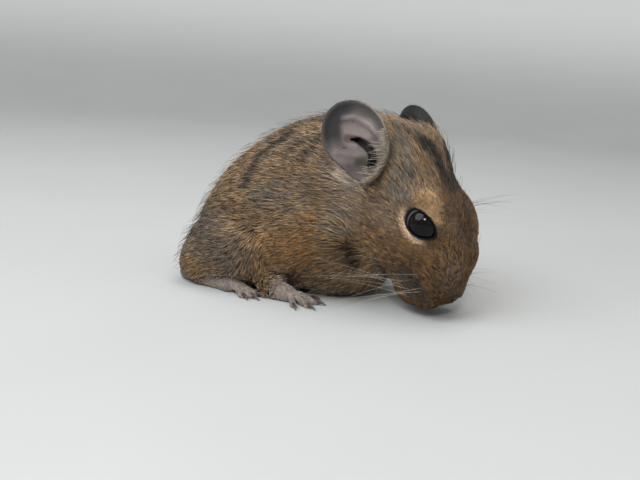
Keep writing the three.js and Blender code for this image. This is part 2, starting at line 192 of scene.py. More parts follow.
def turned(yaw, pitch, roll):
    """Columns: x, y and z axes after a roll about x, a pitch that lifts the nose and a yaw to the left."""
    y, p, r = np.radians([yaw, pitch, roll])
    about_z = np.array([[np.cos(y), -np.sin(y), 0], [np.sin(y), np.cos(y), 0], [0, 0, 1]])
    about_y = np.array([[np.cos(p), 0, -np.sin(p)], [0, 1, 0], [np.sin(p), 0, np.cos(p)]])
    about_x = np.array([[1, 0, 0], [0, np.cos(r), -np.sin(r)], [0, np.sin(r), np.cos(r)]])
    return about_z @ about_y @ about_x


# The head's own frame: x towards the nose, y to the left, z to the crown
HEAD_AXES = turned(*HEAD_TURN)


def into_head(p):
    return (p - HEAD_AT) @ HEAD_AXES / HEAD_SCALE


def from_head(q):
    return np.asarray(q) * HEAD_SCALE @ HEAD_AXES.T + HEAD_AT


def mirrored(at, side):
    """Places or directions of the left side, on the side asked for: 1 is the left and -1 the right."""
    return np.asarray(at) * [1, side, 1]


# Flesh, out to the tips of the coat
skull = together(
    ball((-9, 0, 0.6), (15.5, 11.6, 9.5)),
    (taper((1, 0, -0.4), (13, 0, -2.8), 9.4, 6.6), 6),
)
cheeks = ball((-3, 5.4, -5.5), (13.5, 7.5, 9.5))
whisker_pads = ball((15.1, 4.1, -6.3), (6.7, 4.8, 6.3))
jaw = taper((0, 0, -8.5), (13.6, 0, -12.2), 7.0, 4.5)
muzzle_end = ball((17.5, 0, -3.3), (3.7, 3.7, 3.7))
bridge = ball((10.8, 3.2, 0), (6.2, 5.1, 6.8))
brows = ball((2.5, 6.9, 5.5), (6.5, 3.4, 3.4))
eye_hollow = ball(EYE_HOLLOW_AT, (EYE_RADIUS,) * 3)
trunk_form = together(
    ball((-15.7, 0, 10.6), (15.6, 19.1, 11.9)),  # rump
    (ball((-9.9, 0, 17.8), (18.2, 19.5, 16.5)), BODY_MELT),  # loins
    (ball((-1.1, -0.5, 21.5), (18, 18.0, 21.3)), BODY_MELT),  # arched back
    (ball((11, -1.5, 23.5), (14.5, 16.0, 19.5)), BODY_MELT),  # shoulders
    (ball((8, -1.0, 12.0), (17, 17.0, 12.6)), BODY_MELT),  # chest and belly
)
neck_form = taper((11, -1.5, 29), from_head([-16.2, 0, -0.5]), 15, 11.4)
thigh = together(
    ball((-14.5, 15.8, 10.5), (11.4, 7.8, 8.4)),
    (taper((-10, 19.5, 7.2), (-22.4, 16.5, 6.0), 4.2, 7.2), 3),
)
arm = together(
    taper((8, 13.0, 19), (-9, 17.0, 8.5), 8.5, 5.0),
    (taper((-9, 17.0, 7.5), (-2.5, 19.3, 4.4), 4.2, 2.7), 3),
)


def head_form(q):
    """The head by points in its own frame, in mm of that frame."""
    s = both_sides(q)
    d = skull(q)
    for form, places, softness in (
        (cheeks, s, 7), (whisker_pads, s, 3.5), (jaw, q, 5),
        (muzzle_end, q, 3.5), (bridge, s, 3.5), (brows, s, 4),
    ):
        d = melt(d, form(places), softness)
    return carve(d, eye_hollow(s), 2.5)


# Feet: where the sole starts, which way it heads, the knuckles' height and the room around the foot; the
# soles' starts, ends, radii and heights; and the digits' turns, roots, reaches and thickness
FOREPAW = {
    "start": (-3, 19.2), "heading": 9, "knuckle": 2.1, "room": ((-12, 9, -4), (18, 33, 12)),
    "soles": [(0, 4.2, 2.3, 2.0, 3.1, 2.0), (3, 5.7, 2.0, 2.1, 1.85, 1.75)],
    "digits": [(-46, 6.0, 5.0, 0.74), (-17, 6.0, 6.4, 0.74), (14, 6.0, 6.4, 0.74), (44, 6.0, 5.0, 0.74)],
}
HIND_FOOT = {
    "start": (-27.5, 17.3), "heading": 15, "knuckle": 2.1, "room": ((-38, 8, -4), (4, 36, 12)),
    "soles": [(0, 9.3, 2.1, 1.9, 2.0, 1.75), (8.5, 14.6, 1.9, 2.2, 1.7, 1.7)],
    "digits": [
        (-30, 16.1, 4.5, 0.86), (-12, 16.1, 6.1, 0.86), (4, 16.1, 6.3, 0.86), (20, 16.1, 4.9, 0.86),
        (-62, 12.0, 4.6, 0.74),
    ],
}
FEET = {"fore": FOREPAW, "hind": HIND_FOOT}


def foot_place(foot, forward, turn, along, height):
    """A point of a left foot: forward along the sole, then along a digit that turns from it."""
    base, fan = np.radians([foot["heading"], foot["heading"] + turn])
    x = foot["start"][0] + forward * np.cos(base) + along * np.cos(fan)
    y = foot["start"][1] + forward * np.sin(base) + along * np.sin(fan)
    return np.array([x, y, height])


def foot_form(foot):
    parts = []
    for start, end, start_radius, end_radius, height, end_height in foot["soles"]:
        at, to = foot_place(foot, start, 0, 0, height), foot_place(foot, end, 0, 0, end_height)
        parts.append((taper(at, to, start_radius - FOOT_COAT, end_radius - FOOT_COAT), 1.5))
    for turn, root, reach, thick in foot["digits"]:
        at = foot_place(foot, root - 0.8, turn, 0, foot["knuckle"] - 0.2)
        knuckle = foot_place(foot, root, turn, 0.45 * reach, foot["knuckle"] - 0.35)
        tip = foot_place(foot, root, turn, reach, 0.85 * thick)
        parts.append((taper(at, knuckle, 0.9 * thick, 0.8 * thick), 0.7))
        parts.append((taper(knuckle, tip, 0.84 * thick, 0.72 * thick), 0.3))
        parts.append((ball(tip + [0, 0, -0.05], (1.0 * thick, 0.86 * thick, 0.72 * thick)), 0.3))
    return together(parts[0][0], *parts[1:])


foot_forms = {name: foot_form(foot) for name, foot in FEET.items()}


def curve_through(points, steps):
    """Points at even steps along a centripetal Catmull-Rom curve."""
    p = np.array(points, float)
    p = np.vstack([2 * p[0] - p[1], p, 2 * p[-1] - p[-2]])
    found = []
    for a, b, c, d in zip(p[:-3], p[1:-2], p[2:-1], p[3:]):
        ab, bc, cd = (np.sqrt(np.linalg.norm(v)) for v in (b - a, c - b, d - c))
        leave = ((b - a) / ab - (c - a) / (ab + bc) + (c - b) / bc) * bc
        reach = ((c - b) / bc - (d - b) / (bc + cd) + (d - c) / cd) * bc
        t = np.linspace(0, 1, 40, endpoint=False)[:, None]
        bend = 2 * b - 2 * c + leave + reach
        found.append(bend * t**3 + (-3 * b + 3 * c - 2 * leave - reach) * t**2 + leave * t + b)
    fine = np.vstack([*found, p[-2:-1]])
    run = np.concatenate([[0], np.cumsum(np.linalg.norm(np.diff(fine, axis=0), axis=1))])
    even = np.linspace(0, run[-1], steps + 1)
    return np.column_stack([np.interp(even, run, fine[:, i]) for i in range(3)])


def tail_coat_radius(share):
    slender = mix(3.5, 2.3, smooth(0, 0.5, share))
    return mix(mix(slender, 3.6, smooth(0.6, 0.86, share)), 0.9, smooth(0.86, 1, share))


def tail_skin_radius(share):
    return mix(mix(2.9, 1.5, smooth(0, 0.5, share)), 0.8, smooth(0.7, 1, share))


TAIL = curve_through(TAIL_PATH, 48)
TAIL_ROOM = ((-45, -6, -4), (38, 41, 14))


def tail_near(p):
    """The nearest place on the tail's line to each point: its share of the length, and how far it is."""
    best, share = np.full(len(p), 1e9), np.zeros(len(p))
    for i, (start, end) in enumerate(zip(TAIL[:-1], TAIL[1:])):
        t, gap = from_line(p, start, end - start)
        nearer = gap < best
        best = np.where(nearer, gap, best)
        share = np.where(nearer, (i + t) / (len(TAIL) - 1), share)
    return share, best


def only_near(low, high, p):
    """Which points lie in a box, for forms that are small."""
    return np.flatnonzero(((p > low) & (p < high)).all(1))


# Ears: thin cups with the relief of a real one
def ear_frame(at, faces, up):
    """The ear's middle, and unit vectors across it towards its rear, up it and out of it."""
    out = unit(faces)
    rise = unit(np.array(up) - out * (np.array(up) @ out))
    return np.array(at), np.array([np.cross(rise, out), rise, out])


EARS = {1: ear_frame(*LEFT_EAR), -1: ear_frame(*RIGHT_EAR)}
# Lines on the ear's inner face: places across it, towards its rear, and up it
EAR_SLOT = [(1.2, 1.1), (-0.6, 0.7), (-2.5, -0.7), (-3.8, -2.6), (-3.9, -4.4), (-3.2, -6.2)]
EAR_FOLD = [(2.6, 6.2), (-0.3, 6.3), (-3.4, 4.1), (-5.8, 1.2), (-6.6, -1.6)]
EAR_LIP = [(4.6, -1.6), (1.2, -2.7), (-1.4, -3.4)]
EAR_ROOT = [(1.5, 1.0, -6.4), (-1.5, -2.5, -5.8), (-3.6, -5.4, -4.6)]


def from_ear_middle(q):
    """Each point's way from the middle of the ear on its side, with the right side mirrored."""
    left = q[:, 1:2] > 0
    return both_sides(q) - np.where(left, EARS[1][0], EARS[-1][0])


def in_ear(q):
    """Places across the ear, up it and out of it, for points in the head's frame."""
    r, left = from_ear_middle(q), q[:, 1] > 0
    return tuple(np.where(left, r @ EARS[1][1][i], r @ EARS[-1][1][i]) for i in range(3))


def ear_hollow(q):
    r, left = from_ear_middle(q), q[:, 1:2] > 0
    middle = EAR_HOLLOW_AHEAD * np.where(left, EARS[1][1][2], EARS[-1][1][2])
    return length_of(r - middle) - EAR_HOLLOW_RADIUS


def gap_to(path, p):
    """The distance from each point to a line of points."""
    best = np.full(len(p), 1e9)
    for start, end in zip(path[:-1], path[1:]):
        best = np.minimum(best, from_line(p, np.array(start), np.subtract(end, start))[1])
    return best


def ear_outline(angle):
    """The egg's share of its full size at an angle from its top towards its rear."""
    full, slim = (np.exp((np.cos(angle - math.radians(at)) - 1) / 0.25) for at in (50, 138))
    return 0.94 + 0.14 * full - 0.25 * slim


def ear_share(a, b):
    """How far out towards the rim a place on the ear is, 1 at the rim."""
    angle = np.arctan2(a / EAR_WIDTH, b / EAR_HEIGHT)
    return np.hypot(a / EAR_WIDTH, b / EAR_HEIGHT) * 2 / ear_outline(angle)


def ear_depth(a, b, share):
    """How far out of the ear its inner face lies."""
    place = np.column_stack([a, b])
    depth = -EAR_CUP * (1 - np.minimum(share, 1.1) ** EAR_CURVE)
    depth += 1.0 * np.exp(-((gap_to(EAR_FOLD, place) / 0.9) ** 2))
    depth += 1.1 * np.exp(-((gap_to(EAR_LIP, place) / 1.2) ** 2))
    rear = 0.6 * smooth(1.4, 4.0, a) * smooth(-0.6, 2.2, b)
    outer = smooth(0.66, 0.78, share) * smooth(-3, 2, b) * (1 - rear)
    depth -= (0.8 * rear + 0.5 * outer) * (1 - smooth(0.84, 0.96, share))
    return depth - 0.5 * smooth(-4.2, -6.0, b) * (1 - smooth(0.7, 0.9, share))


def ear_form(q):
    a, b, c = in_ear(q)
    share = ear_share(a, b)
    out = np.maximum(1 - 0.965 / np.maximum(share, 0.5), 0) * np.hypot(a, b)
    climb = EAR_CUP * EAR_CURVE * np.minimum(share, 1) ** (EAR_CURVE - 1) / EAR_REACH
    slope = np.sqrt(1 + climb**2)
    middle = ear_depth(a, b, share) - 0.5
    shell = np.hypot(out, (c - middle) / slope) - EAR_WALL / 2
    return melt(shell, gap_to(EAR_ROOT, np.column_stack([a, b, c])) - 2.3, 1.0)


def slot_half_width(a):
    """Half the width of the ear's canal, by the place across the ear."""
    return mix(0.25, 0.85, smooth(1.2, -2.8, a))


def ear_pit(q):
    """The ear's canal, which is a slot that widens as it bends down."""
    a, b, c = in_ear(q)
    place = np.column_stack([a, b])
    gap = gap_to(EAR_SLOT, place) - slot_half_width(a)
    floor = ear_depth(a, b, ear_share(a, b)) - 2.0
    return np.maximum(gap, floor - c)


# Eyes: a frame on each, out of the head, forwards and up
EYE_OUT = unit((0.05, 0.98, 0.2))
EYE_AHEAD = unit(np.array([1.0, 0, 0]) - EYE_OUT * EYE_OUT[0])
EYE_RISE = np.cross(EYE_OUT, EYE_AHEAD) * -1
CANTHUS = math.radians(20)  # the inner corner of the lids, above the line to the nose
OPENING = (4.2, 2.85)  # half its length and half its height
LID_THICK = 0.45
LID_EDGE_AT = 0.22  # out of the ball, the middle of the lids' round edge
LID_EDGE_RADIUS = 0.30
CORNEA = 0.025  # how far the ball's front stands out, as a share of its radius
EYE_PLAY = 0.06  # between the ball and its lids


def round_eye(q):
    """Angle round the eye, distance from its axis and place along that, for points in the head's frame."""
    r = both_sides(q) - EYE_AT
    ahead, rise = r @ EYE_AHEAD, r @ EYE_RISE
    return np.arctan2(rise, ahead), np.hypot(ahead, rise), r @ EYE_OUT


def angle_between(a, b):
    return np.abs((a - b + math.pi) % (2 * math.pi) - math.pi)


def eye_opening(angle):
    """The opening's edge: an ellipse that is drawn out at the inner corner and fuller below."""
    turn = angle - CANTHUS
    ellipse = 1 / np.hypot(np.cos(turn) / OPENING[0], np.sin(turn) / OPENING[1])
    return ellipse + 0.5 * np.exp(-((angle_between(turn, 0) / 0.25) ** 2)) - 0.25 * np.sin(turn)


def lid_form(q):
    """A thin rind over the ball, open in front, with a thicker round edge."""
    angle, away, out = round_eye(q)
    edge = eye_opening(angle) + 0.12
    reach = length_of(both_sides(q) - EYE_AT) - EYE_RADIUS
    rind = np.abs(reach - LID_THICK / 2) - LID_THICK / 2
    lid = carve(rind, away - edge, 0.3)
    margin = np.hypot(away - edge, reach - LID_EDGE_AT) - LID_EDGE_RADIUS
    return np.where(out > 0, melt(lid, margin, 0.2), FAR)


# Nose and mouth, from the middle of the nose
def from_nose(*at):
    return NOSE_AT + at


nostril = together(
    taper(from_nose(2.4, 0.9, 0.1), from_nose(1.3, 1.9, -0.1), 0.42, 0.34),
    (taper(from_nose(1.3, 1.9, -0.1), from_nose(-0.1, 2.8, -0.8), 0.34, 0.15), 0.2),
)
lip_groove = taper(from_nose(2.7, 0, -1.2), from_nose(0.2, 0, -7.6), 0.22, 0.26)
mouth = taper(from_nose(0.4, 0.2, -7.8), from_nose(-7.5, 5.0, -10.6), 0.34, 0.12)
nose_pad = ball(NOSE_AT - [0.1, 0, 0], NOSE_RADII)


def parts_near(p):
    """Each point's distance from each part, its place in the head's frame and its share of the tail."""
    q, s = into_head(p), both_sides(p)
    foot, share, tail = {}, np.zeros(len(p)), np.full(len(p), FAR)
    for name, plan in FEET.items():
        near = only_near(*plan["room"], s)
        foot[name] = np.full(len(p), FAR)
        foot[name][near] = foot_forms[name](s[near])
    heading = math.radians(FOREPAW["heading"])
    forward = (s[:, :2] - FOREPAW["start"]) @ (math.cos(heading), math.sin(heading))
    near = only_near(*TAIL_ROOM, p)
    share[near], tail[near] = tail_near(p[near])
    return {
        "q": q,
        "head": head_form(q) * HEAD_SCALE,
        "trunk": melt(trunk_form(p), neck_form(p), 9),
        "limb": np.minimum(thigh(s), arm(s)),
        "feet": np.minimum(foot["fore"], foot["hind"]),
        "wrist": smooth(3.4, 0.8, forward) * (foot["fore"] < foot["hind"]),
        "share": share,
        "tail": tail - tail_skin_radius(share),
    }


# How far each point belongs to a part, from 0 to 1
def on_head(parts):
    return smooth(-4, 5, parts["trunk"] - parts["head"])


def on_limb(parts):
    return smooth(-1.5, 1.5, parts["trunk"] - parts["limb"])


def on_foot(parts):
    body = np.minimum(np.minimum(parts["trunk"], parts["limb"]), parts["head"])
    return smooth(-1.0, 1.4, body + LEG_COAT - parts["feet"]) * (1 - parts["wrist"])


def coat_depth(parts):
    """How deep the coat is over each point's skin."""
    q = parts["q"]
    muzzle = smooth(-14, 12, q[:, 0])
    depth = mix(TRUNK_COAT, mix(*HEAD_COAT, muzzle), on_head(parts))
    _, away, out = round_eye(q)
    from_eye = np.hypot(away, np.maximum(-out, 0))
    depth = mix(np.minimum(depth, EYELID_COAT), depth, smooth(4.5, 9.5, from_eye))
    depth = mix(np.minimum(depth, NOSE_COAT), depth, smooth(3.2, 7.0, length_of(q - NOSE_AT)))
    depth = mix(depth, np.minimum(depth, LEG_COAT), on_limb(parts))
    return mix(depth, np.minimum(depth, FOOT_COAT), on_foot(parts))


def flesh(p):
    """The body under its coat, without ears and the small forms of the face."""
    parts = parts_near(p)
    outer = melt(melt(parts["trunk"], parts["head"], 5), parts["limb"], LIMB_MELT)
    d = outer + coat_depth(parts)
    for at, width, depth in DEEPER:
        d += depth * np.exp(-((length_of(both_sides(parts["q"]) - at) / width) ** 2))
    d = carve(d, ear_hollow(parts["q"]) * HEAD_SCALE, 1.5)
    d = melt(d, parts["feet"], 1.2)
    d = melt(d, parts["tail"], 2.0)
    return np.maximum(d, 0.05 - p[:, 2])


def skin_form(p):
    """The whole skin, with its ears, lids, nose and mouth."""
    d = flesh(p)
    q = into_head(p)
    s = both_sides(q)
    small_forms = (
        (from_ear_middle(q), 18, ((melt, ear_form, q, 0.8), (carve, ear_pit, q, 0.5))),
        (s - EYE_AT, 12, ((melt, lid_form, q, 0.9),)),
        (s - NOSE_AT, 18, (
            (melt, nose_pad, q, 0.8), (carve, nostril, s, 0.3),
            (carve, lip_groove, q, 0.4), (carve, mouth, s, 0.5),
        )),
    )
    for from_middle, reach, forms in small_forms:
        near = np.flatnonzero(length_of(from_middle) < reach)
        for join, form, places, softness in forms:
            d[near] = join(d[near], form(places[near]) * HEAD_SCALE, softness)
    return d


# Surfaces from forms
BLOCK = 8  # grid steps in a block
HALF_DIAGONAL = 0.87  # of a block, as a share of its width


def measured(form, step, reach):
    """The form's values on a grid, exact only as far as the reach from its surface."""
    blocks = np.ceil((FIELD_HIGH - FIELD_LOW) / (step * BLOCK)).astype(int)
    at = np.array(list(np.ndindex(*blocks)))
    middle = form((FIELD_LOW + (at + 0.5 - 0.5 / BLOCK) * BLOCK * step).astype(np.float32))
    close = np.flatnonzero(np.abs(middle) < BLOCK * step * HALF_DIAGONAL + reach)
    inner = np.array(list(np.ndindex(BLOCK, BLOCK, BLOCK)))
    values = np.repeat(np.sign(middle).astype(np.float32) * FAR, BLOCK**3).reshape(-1, BLOCK**3)
    for part in np.array_split(close, max(1, len(close) // 400)):
        p = FIELD_LOW + (at[part][:, None] * BLOCK + inner[None]) * step
        values[part] = form(p.reshape(-1, 3).astype(np.float32)).reshape(len(part), -1)
    values = values.reshape(*blocks, BLOCK, BLOCK, BLOCK).transpose(0, 3, 1, 4, 2, 5)
    return values.reshape(*(blocks * BLOCK))


def surface_of(values, step):
    """Vertices and four-sided faces where the values are zero, with a vertex in each cell they cross."""
    inside = values < 0
    n = np.array(values.shape) - 1
    count = np.zeros(n, np.int8)
    for i, j, k in np.ndindex(2, 2, 2):
        count += inside[i : i + n[0], j : j + n[1], k : k + n[2]]
    cells = np.argwhere((count > 0) & (count < 8))
    number = np.full(n, -1)
    number[tuple(cells.T)] = np.arange(len(cells))
    total, hits = np.zeros((len(cells), 3)), np.zeros(len(cells))
    for axis in range(3):
        others = [i for i in range(3) if i != axis]
        for corner in range(4):
            start = cells.copy()
            start[:, others[0]] += corner & 1
            start[:, others[1]] += corner >> 1
            end = start.copy()
            end[:, axis] += 1
            a, b = values[tuple(start.T)], values[tuple(end.T)]
            crossed = (a < 0) != (b < 0)
            place = start.astype(float)
            place[:, axis] += np.where(crossed, a / np.where(crossed, a - b, 1), 0)
            total += place * crossed[:, None]
            hits += crossed
    vertices = FIELD_LOW + total / hits[:, None] * step
    faces = []
    for axis in range(3):
        u, v = (axis + 1) % 3, (axis + 2) % 3
        here, there = [slice(None)] * 3, [slice(None)] * 3
        here[axis], there[axis] = slice(0, -1), slice(1, None)
        edges = np.argwhere(inside[tuple(here)] != inside[tuple(there)])
        edges = edges[(edges[:, u] > 0) & (edges[:, v] > 0) & (edges[:, u] < n[u]) & (edges[:, v] < n[v])]
        du, dv = np.eye(3, dtype=int)[u], np.eye(3, dtype=int)[v]
        around = [number[tuple((edges - back).T)] for back in (du + dv, dv, 0 * du, du)]
        outward = inside[tuple(edges.T)][:, None]
        quads = np.stack(around, 1)
        faces.append(np.where(outward, quads, quads[:, ::-1]))
    return vertices, np.concatenate(faces)


def read_at(values, step, p, rounded=False):
    """Values of a grid at any points, blended between its own, in straight lines or rounded."""
    place = np.clip((p - FIELD_LOW) / step, 0, np.array(values.shape) - 1.001)
    whole = place.astype(int)
    part = smooth(0, 1, place - whole) if rounded else place - whole
    found = 0
    for corner in np.ndindex(2, 2, 2):
        weight = np.prod(np.abs(1 - np.array(corner) - part), axis=1)
        found = found + weight * values[tuple((whole + corner).T)]
    return found


def slope_at(values, step, p):
    """Unit vectors straight out of the surface, at any points."""
    reach = 0.6
    parts = []
    for axis in np.eye(3):
        parts.append(read_at(values, step, p + axis * reach) - read_at(values, step, p - axis * reach))
    slope = np.stack(parts, 1)
    return slope / np.maximum(length_of(slope), 1e-9)[:, None]


# From the body's own axes to the frame's, which start under the middle of the whole animal
eye_low, eye_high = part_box("eye_r")
SHIFT = (np.array(eye_low) + np.array(eye_high)) / 2 / MM - from_head(mirrored(EYE_AT, -1))


def new_piece(name, vertices, faces, material):
    """A mesh from places in mm and faces that all have as many corners."""
    mesh = bpy.data.meshes.new(name)
    corners = faces.shape[1]
    mesh.vertices.add(len(vertices))
    mesh.loops.add(faces.size)
    mesh.polygons.add(len(faces))
    mesh.vertices.foreach_set("co", ((vertices + SHIFT) * MM).astype(np.float32).ravel())
    mesh.loops.foreach_set("vertex_index", faces.astype(np.int32).ravel())
    mesh.polygons.foreach_set("loop_start", np.arange(len(faces), dtype=np.int32) * corners)
    mesh.polygons.foreach_set("use_smooth", np.ones(len(faces), bool))
    mesh.update(calc_edges=True)
    mesh.materials.append(material)
    piece = bpy.data.objects.new(name, mesh)
    bpy.context.scene.collection.objects.link(piece)
    return piece


def places_of(piece):
    """A piece's vertices, in mm in the body's own frame."""
    found = np.empty(len(piece.data.vertices) * 3, np.float32)
    piece.data.vertices.foreach_get("co", found)
    return found.reshape(-1, 3).astype(float) / MM - SHIFT


def apply_modifiers(piece):
    graph = bpy.context.evaluated_depsgraph_get()
    mesh = bpy.data.meshes.new_from_object(piece.evaluated_get(graph))
    piece.modifiers.clear()
    piece.data = mesh


# Colours, as they are in plain light
GOLD = np.array([0.35, 0.225, 0.115])
BROWN = np.array([0.18, 0.118, 0.072])
DARK = np.array([0.030, 0.025, 0.022])
CREAM = np.array([0.60, 0.50, 0.40])
HONEY = np.array([0.44, 0.285, 0.155])
GREY = np.array([0.29, 0.235, 0.185])
ORANGE = np.array([0.38, 0.19, 0.065])
RUST = np.array([0.19, 0.098, 0.045])
SLATE = np.array([0.034, 0.034, 0.036])
UMBER = np.array([0.031, 0.024, 0.018])
MAUVE = np.array([0.138, 0.114, 0.112])
PLATE = np.array([0.235, 0.195, 0.184])
OLIVE = np.array([0.055, 0.052, 0.040])
WINE = np.array([0.075, 0.036, 0.034])
PAW = np.array([0.40, 0.335, 0.295])
PUPIL = (0.0015, 0.0015, 0.0017)
IRIS = ((0.0014, 0.0018, 0.002), (0.0034, 0.0036, 0.0036))
EYE_EDGE = (0.006, 0.006, 0.007)
EYE_RIM = (0.10, 0.10, 0.12)
HORN = ((0.045, 0.022, 0.018), (0.10, 0.07, 0.06))  # at a claw's root and at its tip

# Marks as lines, mirrored to the other side, each with its reach, its colour and its strength. Some of them
# are painted shade, as noted at each.
# On the head, in its own frame
HEAD_MARKS = [
    ([(20, 3, 2), (13, 3, 7), (8, 0, 9)], 6, DARK, 0.15),
    ([(-6, 1, 10.4), (-1.5, 2.6, 10), (3, 2.8, 9.4), (7, 1, 8.2)], 6.6, 0.3 * RUST + 0.22 * BROWN, 0.92),
    ([(5, 10.5, -1.5), (8, 9.6, 1.7), (9.5, 8.5, 4)], 4.5, 0.42 * GOLD + 0.22 * ORANGE, 0.75),
    ([(12, 7.5, 4), (14.5, 7, 1.5)], 3, 0.75 * BROWN, 0.5),
    ([(19.5, 2, -1), (18.5, 4.5, -0.5), (16, 5, 3)], 4.5, 0.9 * BROWN + 0.15 * GREY, 0.65),
    # Painted shade along the lower edge of the muzzle and cheek
    ([(11, 9.2, -8.8), (14, 8.5, -8.6), (17, 8, -7.5)], 4.6, DARK, 0.75),
    ([(-5, 12.5, -6), (-14, 11, -8)], 7, GREY, 0.3),
    ([(-1, 12, -12), (4, 11, -9)], 7.5, RUST, 0.75),
    ([(-0.5, 7.4, 9), (3, 7.4, 8), (6, 8.6, 4.8), (7, 9, 3)], 3.2, 0.3 * RUST + 0.28 * BROWN, 0.85),
    ([(-4.6, 9.9, 6.4), (-1.8, 9.8, 6.8), (-0.4, 9.8, 6.7)], 3.5, 0.94 * HONEY, 0.9),
    ([(-4.3, 11, 4.4), (-1, 10.6, 5.4), (1, 10.3, 5.6)], 2.4, 0.94 * HONEY, 0.85),
    ([(-9.5, 13.5, 2.5), (-7.4, 12.9, 3.9), (-6.1, 11.5, 6.4)], 1.8, DARK, 0.6),
    ([(-9.6, 13.4, 0.8), (-7.4, 13.2, 0.6), (-5.3, 12.9, 1.6)], 2.4, 2 * SLATE, 0.6),
    ([(-14.3, 11.6, 5.2), (-13.6, 11.4, 5.6)], 1.8, DARK, 0.6),
    ([(17.5, 3, -9.5), (20.5, 1.5, -6.5)], 3.5, DARK, 0.35),
]
# On the head and on the neck behind it
NAPE_MARKS = [
    ([(-24, 8, 6), (-16, 9, 8.5), (-9, 9, 8.5)], 5.5, 0.42 * GOLD + 0.3 * GREY, 0.8),
    ([(-18, 11, 6), (-12, 12, 5), (-8, 12.5, 2)], 5.5, 0.78 * GREY, 0.75),
    ([(-9, 8, 10), (-16, 8, 9)], 2.6, ORANGE, 0.25),
    ([(-20, 0, 10), (-11, 0, 11.4)], 3.2, 0.45 * GOLD + 0.25 * BROWN, 0.7),
    # Painted shade: a dark crease in the coat from the front of the ear's base over the forehead
    ([(-24, 8, 7), (-19, 6.4, 9.2), (-15.5, 5, 10.4)], 2.6, DARK, 0.65),
    (
        [(-15.5, 5, 10.4), (-13.4, 3.8, 10.8), (-10.6, 3.2, 10.9), (-8, 2.6, 10.6), (-5, 1.8, 10.4)],
        3.4, DARK, 0.97,
    ),
    ([(-17.6, 16.2, -9), (-15.3, 15.7, -7.5), (-13, 15.3, -5.6)], 3.1, 1.2 * CREAM, 0.97),
]
BODY_MARKS = [
    ([(-2.2, 21.9, 14), (5.7, 21.6, 14.5), (3, 20.9, 9.6)], 6.5, 0.85 * ORANGE, 0.55),
    ([(7.7, 21.4, 22.6), (6, 21, 17)], 4, 0.8 * ORANGE, 0.4),
    ([(-1, 21, 21.5), (4, 21.3, 20)], 5.5, 0.35 * GOLD + 0.22 * ORANGE, 0.45),
    ([(-22, 16, 16), (-29, 14, 8)], 10, 0.55 * GREY, 0.85),
    ([(-20, 20, 8), (-12, 21, 6)], 6, 0.5 * GREY + 0.1 * GOLD, 0.7),
    ([(-20, 21, 12), (-13, 23, 11)], 6, 0.45 * GREY + 0.15 * BROWN, 0.75),
    ([(2, 20, 27), (-6, 20, 25)], 6, GREY, 0.5),
    ([(12, 17, 32), (15, 18, 28), (14.5, 19, 22)], 6.5, 0.95 * GREY + 0.25 * GOLD, 0.8),
    ([(-14.4, 10.8, 32.7), (-18.1, 14, 25.6), (-21.2, 15.8, 20.2)], 4.5, GOLD, 0.7),
    ([(14, 0, 47), (2, 0, 44.5), (-9, 0, 38.5), (-20, 0, 30), (-29, 0, 20), (-34, 0, 10)], 5, DARK, 0.7),
    # Painted shade in the creases where the coat bends over the back's sides
    ([(3.9, 6.9, 44.7), (-3.1, 6.1, 42.2), (-12, 7, 36), (-20, 8, 28)], 2.2, DARK, 0.6),
    ([(-4, 9.2, 40), (-8.7, 11.4, 36.4), (-11.1, 13.2, 33.6), (-12.4, 17.1, 27.3)], 2.3, DARK, 0.85),
    ([(1.2, 13.2, 39), (-2.6, 14.4, 36.2)], 1.8, DARK, 0.7),
    ([(5.5, 13.2, 41), (3.9, 14.8, 38), (2.6, 16.2, 34.6)], 1.9, DARK, 0.8),
]
# Painted shade in the fold between the cheek and the shoulder
FOLD_SHADE_MARKS = [([(16.3, 18.2, 15), (16.9, 17.2, 13), (17.7, 16, 10.6)], 2.4, 0.3 * DARK, 0.97)]
# On the ear's inner face, by places across it and up it
EAR_MARKS = [
    ([(-2.4, 3.2), (0.9, 4.2), (0.6, 1.8)], 3.4, 1.3 * PLATE, 0.8),
    (EAR_FOLD, 1.1, 1.3 * PLATE, 0.25),
    ([(4.2, -2.6), (0.6, -3.4)], 2.4, PLATE, 0.35),
    ([(-1.2, -5.0), (-2.8, -5.4)], 2.8, OLIVE, 0.9),
    ([(2.0, 1.4), (0.4, 1.0)], 1.5, WINE, 0.8),
    # Painted shade in the ear's canal
    (EAR_SLOT[1:], 1.35, 0.2 * SLATE, 0.97),
]
# Round the eye: where the golden patch above it and the pale crescent below it are widest
PATCH_TURN = math.radians(116)
CRESCENT_TURN = math.radians(-92)
TAIL_EDGE = (1.2, 4.5)  # the distances from the tail's skin between which its coat gives way to the body's


def marked(tone, p, marks, core=0.35):
    """Colours with marks on them, each at its full strength as far as the core of its reach."""
    for path, reach, colour, strength in marks:
        tone = tint(tone, colour, strength * (1 - smooth(core * reach, reach, gap_to(path, p))))
    return tone


